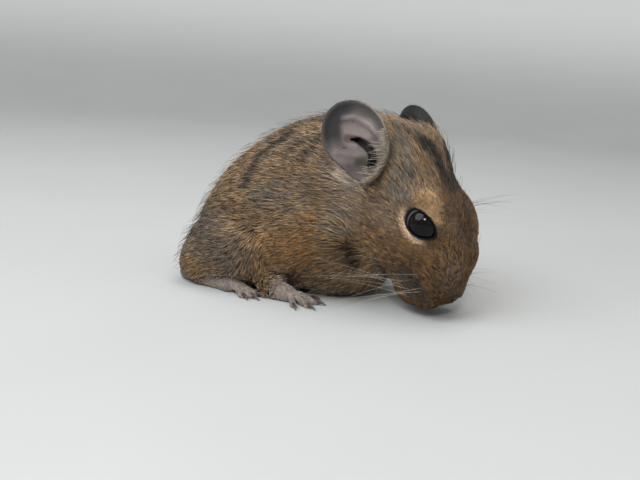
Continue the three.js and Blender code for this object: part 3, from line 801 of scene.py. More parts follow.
def fur_tone(p, parts, up):
    """The colour of the fur's bands; up is how far the surface faces up."""
    body = tint(0.5 * GOLD + 0.5 * BROWN, 0.72 * GOLD + 0.47 * GREY, smooth(0.15, 0.65, up))
    body = tint(0.5 * CREAM + 0.4 * GREY, body, smooth(-0.92, -0.6, up))
    body = marked(body, both_sides(p), BODY_MARKS)
    q = parts["q"]
    face = tint(0.55 * GOLD + 0.2 * GREY, 0.37 * GOLD + 0.45 * BROWN, smooth(5, -7, q[:, 2]))
    face = tint(face, 0.14 * GOLD + 0.22 * ORANGE, smooth(2, 11, q[:, 0]))
    face = marked(face, both_sides(q), HEAD_MARKS)
    angle, away, out = round_eye(q)
    beyond = away - eye_opening(angle)
    patch = smooth(2.8, 1.2, beyond) * smooth(1.15, 0.7, angle_between(angle, PATCH_TURN))
    crescent = smooth(2.3, 1.2, beyond) * smooth(1.4, 1.0, angle_between(angle, CRESCENT_TURN))
    before = smooth(-5, -2, out)
    face = tint(face, HONEY, 0.85 * patch * before)
    face = tint(face, 0.6 * CREAM + 0.8 * HONEY, 0.95 * crescent * before)
    tone = tint(body, face, on_head(parts))
    tone = marked(marked(tone, both_sides(p), FOLD_SHADE_MARKS), both_sides(q), NAPE_MARKS)
    tone = tint(tone, PAW, on_foot(parts))
    brush = smooth(0.6, 0.8, parts["share"])
    tail = tint(0.5 * BROWN + 0.3 * GOLD, DARK, np.maximum(brush, 0.75 * smooth(0.2, 0.9, up)))
    return tint(tail, tone, smooth(*TAIL_EDGE, parts["tail"]))


def ear_tone(a, b, c, share):
    """The colour of an ear's skin, inside and behind, with painted shade in the hollow at its rear and in its
    canal.
    """
    outer = smooth(0.62, 0.74, share) * smooth(-3, 1, b)
    rear = smooth(0.9, 4.2, a + 0.25 * b) * smooth(-1.0, 2.6, b) * (1 - smooth(0.85, 1.0, share))
    inner = tint(MAUVE, 1.9 * SLATE + 0.15 * GREY, 0.9 * outer)
    # Painted shade in the hollow at the ear's rear
    inner = tint(inner, 1.2 * SLATE, 0.85 * rear)
    inner = tint(inner, 0.62 * MAUVE, 0.7 * smooth(-4.0, -6.0, b))
    inner = marked(inner, np.column_stack([a, b]), EAR_MARKS, 0.4)
    front = smooth(1, -5, a) * smooth(-9, -3, b)
    rim = tint(0.9 * SLATE + 0.1 * GREY, 1.15 * GREY, front)
    inner = tint(inner, rim, 0.8 * smooth(0.93, 0.98, share))
    return tint(0.3 * SLATE, inner, smooth(-0.25, 0.15, c - ear_depth(a, b, share) + 0.5))


def skin_tone(p, parts, up):
    """The skin's colour, with painted shade under the coat, in the ears' canals and in the openings of the
    nose and mouth; and how bare it is.
    """
    q, bare = parts["q"], on_foot(parts)
    s = both_sides(q)
    angle, away, out = round_eye(q)
    beyond = away - eye_opening(angle)
    near_eye = smooth(2.5, 1.0, beyond) * smooth(-1, 1, out)
    # The coat's colour, darker on the skin beneath it: partly painted shade from the coat over it, partly the
    # dark underfur, and less so near the eyes
    tone = fur_tone(p, parts, up) * (0.62 + 0.3 * near_eye)[:, None]
    tone = tint(tone, tint(1.3 * PAW, 0.85 * PAW, smooth(-0.6, 0.2, up)), bare)
    a, b, c = in_ear(q)
    share = ear_share(a, b)
    on_ear = (1 - smooth(0.2, 1.0, ear_form(q))) * (1 - smooth(1.0, 1.25, share))
    tone = tint(tone, ear_tone(a, b, c, share), on_ear)
    canal = gap_to(EAR_SLOT, np.column_stack([a, b])) - slot_half_width(a)
    sunk = 1 - smooth(-0.9, -0.3, c - ear_depth(a, b, share))
    # Painted shade deep in the ear's canal
    pit_shade = (1 - smooth(0.0, 0.4, canal)) * (np.abs(c + 4) < 6) * sunk
    lids = (1 - smooth(0.3, 0.6, beyond)) * smooth(0.0, 0.6, out)
    nose = 1 - smooth(0.1, 0.6, nose_pad(q))
    # Painted shade in the nostrils, the groove of the lip and the mouth
    openings = 1 - smooth(0.05, 0.3, np.minimum(np.minimum(nostril(s), lip_groove(q)), mouth(s)))
    tone = tint(tint(tone, 0.12 * SLATE, pit_shade), 0.15 * SLATE, lids)
    tone = tint(tint(tone, 1.6 * DARK, nose), 0.4 * DARK, openings)
    return tone, np.clip(bare + on_ear + lids + nose + pit_shade, 0, 1)


# How the coat lies: places and directions, mirrored to the other side
HEAD_LIE = [
    ((22, 0, 1), (-1, 0, 0.2)), ((20, 4, -4), (-1, 0.3, -0.3)), ((14, 5, -10), (-0.9, 0.2, -0.5)),
    ((15, 4, 3), (-1, 0.15, 0.1)), ((8, 0, 9), (-1, 0, 0)), ((8, 8, -3), (-0.85, 0.3, -0.7)),
    ((1.6, 11, -6), (-1, 0.2, -0.35)), ((6, 7, 6), (-0.9, 0.2, 0.4)), ((-1, 9, 8), (-1, 0.1, 0.2)),
    ((-6, 11, 2), (-1, 0.2, 0.15)), ((-6, 12, -6), (-0.85, 0.1, -0.5)), ((-14, 10, -8), (-0.8, 0.1, -0.6)),
    ((-12, 6, 11), (-1, 0.2, 0)), ((-20, 4, 8), (-1, 0, -0.1)), ((5, 5, -13), (-1, 0, -0.1)),
    ((-5, 4, -15), (-1, 0, 0)),
]
BODY_LIE = [
    ((20, 0, 44), (-1, 0, 0.1)), ((5, 6, 44), (-1, 0.1, -0.1)), ((-8, 6, 38), (-0.85, 0.1, -0.5)),
    ((-20, 6, 26), (-0.6, 0.05, -0.8)), ((-32, 4, 14), (-0.3, 0, -0.95)), ((-28, 14, 14), (-0.6, 0.1, -0.75)),
    ((14, 15, 28), (-1, 0.1, -0.15)), ((-2, 18, 25), (-1, 0, -0.12)), ((-14, 18, 20), (-0.9, 0, -0.35)),
    ((5, 20, 14), (-0.95, 0.1, -0.3)), ((-15, 23, 10), (-0.9, 0, -0.3)), ((-25, 18, 6), (-0.8, -0.1, -0.5)),
    ((-8, 19, 9), (-0.1, 0.2, -0.9)), ((-5, 19, 6), (0.75, 0.1, -0.45)), ((12, 10, 3), (-1, 0, 0)),
    ((0, 2, 0), (-1, 0, 0)), ((19, 9, 11), (-0.6, 0.2, -0.75)),
]


def lie_at(p, parts):
    """The direction in which the coat lies, before it is laid along the surface."""
    total = np.zeros((len(p), 3))
    for side in (-1, 1):
        guides = [(from_head(mirrored(at, side)), HEAD_AXES @ mirrored(way, side)) for at, way in HEAD_LIE]
        guides += [(mirrored(at, side), mirrored(way, side)) for at, way in BODY_LIE]
        for at, way in guides:
            weight = 1 / (np.sum((p - at) ** 2, axis=1) + 4) ** 2
            total += weight[:, None] * unit(way)
    total /= length_of(total)[:, None]
    side = np.where(p[:, 1] < 0, -1, 1)
    for foot in FEET.values():
        heading = math.radians(foot["heading"])
        ahead = np.column_stack([np.full(len(p), v) for v in (math.cos(heading), math.sin(heading), -0.1)])
        ahead[:, 1] *= side
        centre = foot_place(foot, 8, 0, 0, 2)
        close = 1 - smooth(11, 17, length_of(both_sides(p) - centre))
        share = close * (1 - smooth(0.5, 3.5, parts["feet"]))
        total = mix(total, ahead, share[:, None])
    along = np.array([unit(v) for v in np.gradient(TAIL, axis=0)])
    step = np.clip(parts["share"] * (len(TAIL) - 1), 0, len(TAIL) - 1).astype(int)
    on_tail = 1 - smooth(*TAIL_EDGE, parts["tail"])
    return mix(total, along[step], on_tail[:, None])


def laid(way, out):
    """Directions turned to run along the surface."""
    way = way - dot(way, out)[:, None] * out
    return way / np.maximum(length_of(way), 1e-6)[:, None]


# Materials
class Value:
    """A shader's socket that takes part in sums."""

    def __init__(self, nodes, socket):
        self.nodes, self.socket = nodes, socket

    def of(self, operation, *others):
        return self.nodes.value("ShaderNodeMath", dict(enumerate((self, *others))), 0, operation=operation)

    def __add__(self, other):
        return self.of("ADD", other)

    def __sub__(self, other):
        return self.of("SUBTRACT", other)

    def __rsub__(self, other):
        return (self * -1) + other

    def __mul__(self, other):
        return self.of("MULTIPLY", other)

    __radd__, __rmul__ = __add__, __mul__

    def smooth(self, low, high):
        """0 below low and 1 above high."""
        inputs = {"Value": self, "From Min": low, "From Max": high}
        return self.nodes.value("ShaderNodeMapRange", inputs, "Result", interpolation_type="SMOOTHSTEP")


class Nodes:
    """The nodes of a material or of a tree."""

    def __init__(self, tree):
        self.tree = tree

    def feed(self, place, value):
        if isinstance(value, Value):
            self.tree.links.new(value.socket, place)
        elif isinstance(value, bpy.types.NodeSocket):
            self.tree.links.new(value, place)
        else:
            place.default_value = value

    def new(self, kind, inputs, **settings):
        """A node, with its settings and then its inputs, by their names or numbers."""
        node = self.tree.nodes.new(kind)
        for name, value in settings.items():
            setattr(node, name, value)
        for name, value in inputs.items():
            self.feed(node.inputs[name], value)
        return node

    def value(self, kind, inputs, output, **settings):
        return Value(self, self.new(kind, inputs, **settings).outputs[output])

    def blend(self, share, a, b):
        """Two colours, mixed; each is a socket's or three numbers."""
        a, b = (c if isinstance(c, Value) else (*(float(part) for part in c), 1.0) for c in (a, b))
        return self.value("ShaderNodeMix", {0: share, 6: a, 7: b}, 2, data_type="RGBA")

    def vector(self, operation, output, *values):
        node = self.new("ShaderNodeVectorMath", {}, operation=operation)
        sockets = [place for place in node.inputs if place.enabled]
        for place, value in zip(sockets, values):
            self.feed(place, value)
        return Value(self, node.outputs[output])

    def attribute(self, name, output):
        return self.value("ShaderNodeAttribute", {}, output, attribute_name=name)

    def noise(self, place, size, detail=2):
        """Noise whose features are about as large as the size in mm."""
        inputs = {"Vector": place, "Scale": 1 / (size * MM), "Detail": detail}
        return self.value("ShaderNodeTexNoise", inputs, "Fac")


def new_material(name, **constants):
    """A material with its nodes and its surface shader, whose own sockets take the constants."""
    material = bpy.data.materials.new(name)
    material.use_nodes = True
    nodes = Nodes(material.node_tree)
    surface = next(n for n in material.node_tree.nodes if n.type == "BSDF_PRINCIPLED")
    for socket, value in constants.items():
        surface.inputs[socket.replace("_", " ")].default_value = value
    return material, nodes, surface.inputs


def coat_material():
    material, nodes, surface = new_material("coat", Roughness=0.62, Specular_IOR_Level=0.3)
    tone, tipped = nodes.attribute("tone", "Color"), nodes.attribute("tone", "Alpha")
    along, chance = nodes.attribute("along", "Fac"), nodes.attribute("chance", "Fac")
    root = nodes.blend(0.68, tone, 0.9 * UMBER)
    colour = nodes.blend(along.smooth(0.05, 0.45), root, tone)
    colour = nodes.blend(tipped * along.smooth(0.55, 0.85), colour, DARK)
    bright = nodes.vector("SCALE", "Vector", colour, 0.42 + 1.16 * chance)
    nodes.feed(surface["Base Color"], bright)
    return material


def skin_material():
    material, nodes, surface = new_material("skin", Specular_IOR_Level=0.2)
    tone, bare = nodes.attribute("tone", "Color"), nodes.attribute("tone", "Alpha")
    place = nodes.value("ShaderNodeTexCoord", {}, "Object")
    lie = nodes.attribute("lie", "Vector")
    run = nodes.vector("DOT_PRODUCT", "Value", place, lie)
    along = nodes.vector("SCALE", "Vector", lie, run * 0.88)
    across = nodes.vector("SUBTRACT", "Vector", place, along)
    strands = nodes.noise(across, 0.28, 3)
    grain = nodes.noise(place, 0.32, 3)
    mottle = nodes.noise(place, 2.2, 3)
    streaks = strands.smooth(0.35, 0.65)
    shade = 0.65 + 0.45 * streaks + 0.3 * mottle
    bare_shade = 0.72 + 0.4 * grain + 0.2 * mottle
    both = shade + bare * (bare_shade - shade)
    nodes.feed(surface["Base Color"], nodes.vector("SCALE", "Vector", tone, both))
    nodes.feed(surface["Roughness"], 0.75 - 0.2 * bare)
    relief = streaks + bare * (0.45 * grain - streaks)
    bump = nodes.new("ShaderNodeBump", {"Height": relief, "Strength": 0.7, "Distance": 0.12 * MM})
    nodes.feed(surface["Normal"], bump.outputs["Normal"])
    return material


def eye_material():
    """A dark eye: a black pupil, an iris almost as dark with fine rays, and a grey rim at its rear."""
    material, nodes, surface = new_material("eye", Roughness=0.12, Specular_IOR_Level=0.21)
    place = nodes.attribute("place", "Vector")
    split = nodes.new("ShaderNodeSeparateXYZ", {"Vector": place})
    ahead, rise = Value(nodes, split.outputs["X"]), Value(nodes, split.outputs["Y"])
    away = (ahead * ahead + rise * rise).of("SQRT")
    rays = nodes.noise(nodes.vector("SCALE", "Vector", place, 0.01), 1.2, 3)
    colour = nodes.blend(away.smooth(0.36, 0.42), PUPIL, nodes.blend(rays, *IRIS))
    colour = nodes.blend(away.smooth(0.70, 0.80), colour, EYE_EDGE)
    rim = away.smooth(0.62, 0.76) * (ahead * -0.85 - rise * 0.52).smooth(0.25, 0.62)
    nodes.feed(surface["Base Color"], nodes.blend(rim, colour, EYE_RIM))
    return material


def horn_material():
    material, nodes, surface = new_material("claw", Roughness=0.32, Specular_IOR_Level=0.5)
    along = nodes.attribute("along", "Fac")
    place = nodes.value("ShaderNodeTexCoord", {}, "Object")
    grain = nodes.noise(place, 0.35)
    colour = nodes.blend(along.smooth(0.2, 0.95), *HORN)
    nodes.feed(surface["Base Color"], nodes.vector("SCALE", "Vector", colour, 0.7 + 0.6 * grain))
    return material


def hair_material(name, root, tip):
    material, nodes, surface = new_material(name, Roughness=0.4, Specular_IOR_Level=0.5)
    along = nodes.attribute("along", "Fac")
    nodes.feed(surface["Base Color"], nodes.blend(along.smooth(0.0, 0.8), root, tip))
    return material


# The skin
TRUNK_NODES = ["trunk", "neck", "head", "nose", "tail_base", "tail_middle", "tail_brush"]
PAIRED_NODES = ["ear", "foreleg", "hindleg", "forepaw", "hindfoot"]
FLESH_NODES = TRUNK_NODES + [f"{name}_{side}" for name in PAIRED_NODES for side in "lr"]
SKIN_TRIANGLES = 175000

coarse = measured(flesh, COAT_STEP, 4.0)
vertices, quads = surface_of(measured(skin_form, SKIN_STEP, 1.0), SKIN_STEP)
skin = new_piece("skin", vertices, quads, skin_material())
thinner = skin.modifiers.new("fewer faces", "DECIMATE")
thinner.ratio = SKIN_TRIANGLES / (2 * len(quads))
apply_modifiers(skin)


def give(piece, name, kind, values):
    """An attribute on each vertex."""
    field = {"FLOAT": "value", "FLOAT_VECTOR": "vector", "FLOAT_COLOR": "color"}[kind]
    attribute = piece.data.attributes.new(name, kind, "POINT")
    attribute.data.foreach_set(field, np.ascontiguousarray(values, np.float32).ravel())


def triangles_of(piece):
    """Each triangle's three vertices, by their numbers."""
    piece.data.calc_loop_triangles()
    found = np.empty(len(piece.data.loop_triangles) * 3, np.int32)
    piece.data.loop_triangles.foreach_get("vertices", found)
    return found.reshape(-1, 3)


skin_places = places_of(skin)
skin_parts = parts_near(skin_places)
skin_out = slope_at(coarse, COAT_STEP, skin_places)
tone, bare = skin_tone(skin_places, skin_parts, skin_out[:, 2])
give(skin, "tone", "FLOAT_COLOR", np.column_stack([tone, bare]))
give(skin, "lie", "FLOAT_VECTOR", laid(lie_at(skin_places, skin_parts), skin_out))
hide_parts(*FLESH_NODES)
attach(skin, "root")


# The coat
TUFTS = 118000
COAT_LAYERS = 8
LOCK_SHARE = 0.26  # of the tufts, how many start a lock
GATHER = 0.68  # how far a tuft leans to its lock
DRIFT_STEP = 6.0  # the distance over which the coat's waves change
DRIFT, STRAY = 0.16, 0.09  # how much the waves and chance turn a tuft
GUARD_SHARE = 0.05  # of the long tufts, how many stand out as guard hairs
GUARD_LONGER, GUARD_THINNER = 1.35, 0.4
SHORT = 1.5  # tufts that are shorter stay straight
# How much tufts differ in length and height, each one by itself and each lock as a whole
LENGTHS, LOCK_LENGTHS = (0.80, 1.10), (0.82, 1.12)
HEIGHTS, LOCK_HEIGHTS = (0.72, 1.08), (0.8, 1.1)
OWN_SHADE, LOCK_SHADE = 0.35, 0.65  # how much of a tuft's shade is its own and how much its lock's
WARMTH = (0.25, 0.05, -0.35)  # what a light lock adds to red, green and blue
ABOVE_FLOOR = (0.2, 0.08)  # how far a tuft's line and its corners stay above the floor
TIP_SHARES = (0.36, 0.34)  # how many tufts have dark tips, on the body and on the head
# A tuft's corners: a point at its root, two rings of three and a point at its tip
RING = np.array([0, 1, 1, 1, 2, 2, 2, 3])
STEPS = (0, 0.36, 0.72, 1)
ALONG = np.array(STEPS)[RING]
THICK = np.array([0, 1, 0.75, 0])[RING]
AROUND = np.array([0, 0, 1, 2, 0.5, 1.5, 2.5, 0]) * 2 * math.pi / 3
TUFT_FACES = np.array([
    (0, 2, 1), (0, 3, 2), (0, 1, 3),
    (1, 2, 4), (2, 5, 4), (2, 3, 5), (3, 6, 5), (3, 1, 6), (1, 4, 6),
    (4, 5, 7), (5, 6, 7), (6, 4, 7),
])
PATCH = 0.003  # width of a tuft's patch on the map
PATCH_ACROSS = np.array([0.5, 0, 0.5, 1, 0.1, 0.6, 1, 0.5])

# The tufts' length, width and closeness in each part of the coat
BACK_FUR = (5.6, 0.27, 10.0)
NAPE_FUR = (4.4, 0.24, 12.0)
MUZZLE_FUR = (2.3, 0.20, 16.0)
EYELID_FUR = (1.1, 0.15, 26.0)
FOOT_FUR = (0.8, 0.11, 24.0)
TAIL_FUR = (2.1, 0.2, 12.0)
BRUSH_FUR = (6.5, 0.2, 16.0)
# Only the length and the width
NOSE_FUR = (0.8, 0.13)
LEG_FUR = (4.6, 0.25)


def coat_plan(p, parts):
    """Each tuft's length, width and depth, and how close together tufts stand there."""
    back, nape, muzzle, lid, paw, tail, brush, nose = (
        np.array(fur)[:, None]
        for fur in (BACK_FUR, NAPE_FUR, MUZZLE_FUR, EYELID_FUR, FOOT_FUR, TAIL_FUR, BRUSH_FUR, NOSE_FUR)
    )
    q = parts["q"]
    plan = mix(back, mix(nape, muzzle, smooth(-16, 12, q[:, 0])), on_head(parts))
    _, away, out = round_eye(q)
    plan = mix(plan, lid, 1 - smooth(5.5, 10.5, np.hypot(away, np.minimum(out, 0))))
    plan[:2] = mix(plan[:2], nose, 1 - smooth(3.5, 7.5, length_of(q - NOSE_AT)))
    near_foot = 1.5 + 0.55 * np.maximum(parts["feet"], 0)
    leg = np.minimum(np.minimum(plan[0], LEG_FUR[0]), near_foot)
    plan[:2] = mix(plan[:2], np.array([leg, np.full(len(p), LEG_FUR[1])]), on_limb(parts))
    plan = mix(plan, paw, on_foot(parts))
    on_tail = 1 - smooth(0.6, 2.5, parts["tail"])
    plan = mix(plan, mix(tail, brush, smooth(0.55, 0.85, parts["share"])), on_tail)
    tail_depth = tail_coat_radius(parts["share"]) - tail_skin_radius(parts["share"])
    return plan[0], plan[1], mix(coat_depth(parts), tail_depth, on_tail), plan[2]


def scattered(places, triangles, closeness, count):
    """Random points on a surface, as close together as asked at each vertex."""
    a, b, c = (places[triangles[:, i]] for i in range(3))
    area = length_of(np.cross(b - a, c - a)) / 2
    run = np.cumsum(area * closeness[triangles].mean(1))
    pick = np.searchsorted(run, (np.arange(count) + luck.random(count)) / count * run[-1])
    pick = np.minimum(pick, len(triangles) - 1)
    u, v = np.sqrt(luck.random(count)), luck.random(count)
    weights = np.column_stack([1 - u, u * (1 - v), u * v])
    return np.einsum("ij,ijk->ik", weights, np.stack([a[pick], b[pick], c[pick]], 1))


def in_the_way(p):
    """Which points are inside an ear, in its cup or canal, over an eye or on the nose."""
    q = into_head(p)
    a, b, c = in_ear(q)
    share = ear_share(a, b)
    # Fur grows in over the cup's lower front edge
    cup = (share < 0.97) & (c > ear_depth(a, b, share) - 0.6) & (c < 5) & ((a > -6.4) | (b > 1.5))
    canal = (gap_to(EAR_SLOT, np.column_stack([a, b])) < 2.2) & (np.abs(c + 3) < 6)
    ear = ear_form(q) < 0.25
    angle, away, out = round_eye(q)
    ball_gap = length_of(both_sides(q) - EYE_AT) - EYE_RADIUS
    eye = (away < eye_opening(angle) + 0.3) & (out > 0) | (ball_gap < 0.3)
    return cup | canal | ear | eye | (nose_pad(q) < 0.1)


# The parts' boxes on the map of the skin: start and width across it, start and height up it
TRUNK_MAP = (0.01, 0.58, 0.01, 0.97)
HEAD_MAP = (0.61, 0.38, 0.42, 0.56)
LEG_MAP = (0.72, 0.26, 0.01, 0.38)
TAIL_MAP = (0.61, 0.09, 0.01, 0.38)


def angle_share(a, b):
    """Angles as shares of a full turn."""
    return np.arctan2(a, b) / (2 * math.pi) + 0.5


def share_of(x, start, length):
    """Places along a length, as shares of it."""
    return np.clip((x - start) / length, 0, 1)


def atlas_place(p, parts):
    """Places on the map of the skin: the trunk and the head unrolled, the legs and the tail beside them."""
    q, head = parts["q"], on_head(parts) > 0.5
    leg = ((parts["limb"] < parts["trunk"]) | (parts["feet"] < 3)) & ~head
    found = np.zeros((len(p), 2))
    for (left, wide, low, high), chosen, across, up in (
        (TRUNK_MAP, np.full(len(p), True), angle_share(p[:, 1], p[:, 2] - 16), share_of(p[:, 0], -38, 74)),
        (HEAD_MAP, head, angle_share(q[:, 1], q[:, 2] + 2), share_of(q[:, 0], -24, 48)),
        (LEG_MAP, leg, share_of(p[:, 1], -28, 56), share_of(p[:, 0], -36, 56)),
        (TAIL_MAP, parts["tail"] < TAIL_EDGE[0], luck.random(len(p)), parts["share"]),
    ):
        place = np.column_stack([left + wide * across, low + high * up])
        found = np.where(chosen[:, None], place, found)
    return found


skin_triangles = triangles_of(skin)
plan = coat_plan(skin_places, skin_parts)
closeness = plan[3] * (ear_form(skin_parts["q"]) > 0.35)
# Fewer tufts underneath, where the body rests
closeness *= mix(0.25, 1.0, smooth(-0.9, -0.6, skin_out[:, 2]) + smooth(3, 5, skin_places[:, 2])).clip(0, 1)
closeness *= ~in_the_way(skin_places)
roots = scattered(skin_places, skin_triangles, closeness, TUFTS)
parts = parts_near(roots)
out = slope_at(coarse, COAT_STEP, roots)
length, width, depth, _ = coat_plan(roots, parts)
waves = luck.uniform(-1, 1, (*np.ceil((FIELD_HIGH - FIELD_LOW) / DRIFT_STEP).astype(int) + 2, 3))
drift = np.column_stack([read_at(waves[..., i], DRIFT_STEP, roots, rounded=True) for i in range(3)])
way = laid(lie_at(roots, parts), out)
way = laid(way + DRIFT * drift + luck.normal(0, STRAY, roots.shape), out)

# Tufts gather in locks: each leans towards the line of the nearest lock's first tuft, and shares its shade
firsts = np.flatnonzero(luck.random(TUFTS) < LOCK_SHARE)
tree = KDTree(len(firsts))
for number, place in enumerate(roots[firsts]):
    tree.insert(place, number)
tree.balance()
lock = firsts[[tree.find(place)[1] for place in roots]]
lock_chance = luck.random(TUFTS)[lock]
length *= luck.uniform(*LENGTHS, TUFTS) * luck.uniform(*LOCK_LENGTHS, TUFTS)[lock]
height = depth * luck.uniform(*HEIGHTS, TUFTS) * luck.uniform(*LOCK_HEIGHTS, TUFTS)[lock]
guard = luck.random(TUFTS) < GUARD_SHARE * smooth(2.2, 4.5, length)
length = np.where(guard, GUARD_LONGER * length, length)
width = np.where(guard, GUARD_THINNER * width, width)
height = np.where(guard, depth + luck.uniform(0.2, 2.0, TUFTS), height)
gather = roots[lock] - roots
gather *= np.minimum(1, 1.2 / np.maximum(length_of(gather), 1e-6))[:, None]
stray = laid(luck.normal(0, 1, roots.shape), out)[lock] * (0.12 * length)[:, None]
spread = np.where(guard[:, None], stray, GATHER * gather + stray)


def along_tuft(share):
    """Where each tuft is at a share of its length: it leaves the skin steeply and then lies down."""
    rise = height * (1 - (1 - share) ** 1.7)
    p = roots + way * (length * share)[:, None] + spread * share**1.5
    for _ in range(2):
        off = np.clip(read_at(coarse, COAT_STEP, p) - rise, -2, 2)
        p = p - (off * np.minimum(length / SHORT, 1))[:, None] * slope_at(coarse, COAT_STEP, p)
    short = (length < SHORT)[:, None]
    p = np.where(short, roots + way * (length * share)[:, None] + out * rise[:, None], p)
    p[:, 2] = np.maximum(p[:, 2], ABOVE_FLOOR[0])
    return p


spine = [roots - 0.12 * out, *(along_tuft(share) for share in STEPS[1:])]
kept = ~np.any([in_the_way(p) for p in spine[1:]], axis=0)
up = out[:, 2]
warmth = 1 + np.outer(lock_chance - 0.5, WARMTH)
jitter = luck.normal(0, 0.35, roots.shape)
tones = [fur_tone(p + jitter, parts_near(p + jitter), up) * warmth for p in spine[1:]]
tip_share = mix(*TIP_SHARES, on_head(parts)) * mix(0.4, 1.0, smooth(-0.6, 0.0, up))
draw = 0.5 * luck.random(TUFTS) + 0.5 * luck.random(TUFTS)[lock]
tipped = np.where(draw < tip_share, luck.uniform(0.5, 0.95, TUFTS), luck.uniform(0, 0.25, TUFTS))
tipped = np.where(guard, 1.0, tipped) * (1 - smooth(0.30, 0.42, tones[1][:, 1]))
_, away, outwards = round_eye(parts["q"])
calm = smooth(9.5, 6.5, away) * (outwards > -3)  # near the eye, where the coat is more even
tipped *= 1 - 0.75 * calm
chance = OWN_SHADE * luck.random(TUFTS) + LOCK_SHADE * lock_chance
muzzle = on_head(parts) * smooth(0, 12, parts["q"][:, 0])
chance = 0.5 + (chance - 0.5) * mix(mix(0.65, 1.15, on_head(parts)), 1.4, muzzle) * (1 - 0.4 * calm)

forward = spine[3] - spine[0]
forward /= np.maximum(length_of(forward), 1e-6)[:, None]
across = laid(np.cross(forward, out), forward)
other = np.cross(forward, across)
roll = luck.uniform(0, 2 * math.pi, TUFTS)
points, colours = np.empty((TUFTS, len(RING), 3)), np.empty((TUFTS, len(RING), 4))
for i, ring in enumerate(RING):
    colours[:, i] = np.column_stack([tones[max(ring - 1, 0)], tipped])
    angle = AROUND[i] + roll
    ring_out = np.cos(angle)[:, None] * across + np.sin(angle)[:, None] * other
    points[:, i] = spine[ring] + ring_out * (0.5 * width * THICK[i])[:, None]
points[:, :, 2] = np.maximum(points[:, :, 2], ABOVE_FLOOR[1])
atlas = atlas_place(roots, parts)
fur = coat_material()
order = luck.permutation(np.flatnonzero(kept))
for layer, chosen in enumerate(np.array_split(order, COAT_LAYERS)):
    n = len(chosen)
    faces = (TUFT_FACES[None] + len(RING) * np.arange(n)[:, None, None]).reshape(-1, 3)
    piece = new_piece(f"coat_layer_{layer + 1}", points[chosen].reshape(-1, 3), faces, fur)
    give(piece, "tone", "FLOAT_COLOR", colours[chosen])
    give(piece, "along", "FLOAT", np.tile(ALONG, n))
    give(piece, "chance", "FLOAT", np.repeat(chance[chosen], len(RING)))
    uv = atlas[chosen][:, None] + PATCH * np.column_stack([PATCH_ACROSS, ALONG])[None]
    bake = piece.data.uv_layers.new(name="OFBake")
    bake.data.foreach_set("uv", uv.reshape(-1, 2)[faces.ravel()].astype(np.float32).ravel())
    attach(piece, "root")


# Eyes
def full_turn(count):
    """Angles at even steps round a circle."""
    return np.arange(count) * 2 * math.pi / count


def ring_mesh(count, around, closed=True):
    """Faces from one point over rings of as many points, and to one more point where the end is closed."""
    faces = []
    for i in range(count - 1):
        for j in range(around):
            a, b = 1 + i * around + j, 1 + i * around + (j + 1) % around
            faces += [(a, b, b + around), (a, b + around, a + around)]
    faces += [(0, 1 + (j + 1) % around, 1 + j) for j in range(around)]
    if closed:
        last = 1 + count * around
        faces += [(last, last - around + j, last - around + (j + 1) % around) for j in range(around)]
    return np.array(faces)


EYE_RINGS, EYE_AROUND = 47, 96
iris = eye_material()
for side, sign in (("l", 1), ("r", -1)):
    tilt = np.linspace(0, math.pi, EYE_RINGS + 2)[1:-1]
    turn = full_turn(EYE_AROUND)
    ring = np.stack([
        np.outer(np.sin(tilt), np.cos(turn)), np.outer(np.sin(tilt), np.sin(turn)),
        np.outer(np.cos(tilt), np.ones(EYE_AROUND)),
    ], -1).reshape(-1, 3)
    local = np.vstack([[(0, 0, 1)], ring, [(0, 0, -1)]])
    bulge = 1 + CORNEA * smooth(0.55, 1.0, local[:, 2])
    q = local * bulge[:, None] * (EYE_RADIUS - EYE_PLAY)
    q = EYE_AT + q @ np.array([EYE_AHEAD, EYE_RISE, EYE_OUT])
    faces = ring_mesh(EYE_RINGS, EYE_AROUND)
    eye = new_piece(f"eyeball_{side}", from_head(mirrored(q, sign)), faces[:, ::-sign], iris)
    give(eye, "place", "FLOAT_VECTOR", local)
    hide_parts(f"eye_{side}")
    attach(eye, "root")


# Claws
CLAW_RINGS, CLAW_AROUND = 9, 12
horn = horn_material()
for kind, foot in FEET.items():
    for number, (turn, root, reach, thick) in enumerate(foot["digits"], 1):
        start = foot_place(foot, root, turn, reach + 0.35 * thick, 0.95 * thick)
        end = foot_place(foot, root, turn, reach + thick + CLAW_LENGTH - 0.05, 0.2)
        bend = (start + end) / 2 + [0, 0, 0.75]
        t = np.linspace(0, 1, CLAW_RINGS + 1)
        line = np.outer((1 - t) ** 2, start) + np.outer(2 * t * (1 - t), bend) + np.outer(t * t, end)
        ahead = np.array([unit(v) for v in np.gradient(line, axis=0)])
        aside = np.array([unit(np.cross((0, 0, 1), v)) for v in ahead])
        upward = np.cross(ahead, aside)
        size = (CLAW_RADII[0] - CLAW_RADII[1]) * (1 - t) ** 0.75 + CLAW_RADII[1]
        angle = full_turn(CLAW_AROUND)[None, :, None]
        rings = line[:-1, None] + size[:-1, None, None] * (
            0.8 * np.cos(angle) * aside[:-1, None] + 1.1 * np.sin(angle) * upward[:-1, None]
        )
        body = np.vstack([line[:1], rings.reshape(-1, 3), line[-1:]])
        share = np.concatenate([[0], np.repeat(t[:-1], CLAW_AROUND), [1]])
        faces = ring_mesh(CLAW_RINGS, CLAW_AROUND)
        for side, sign in (("l", 1), ("r", -1)):
            name = f"{kind}_claw_{side}_{number}"
            claw = new_piece(name, mirrored(body, sign), faces[:, ::sign], horn)
            give(claw, "along", "FLOAT", share)
            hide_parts(f"{kind}claw_{side}_{number}")
            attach(claw, "root")


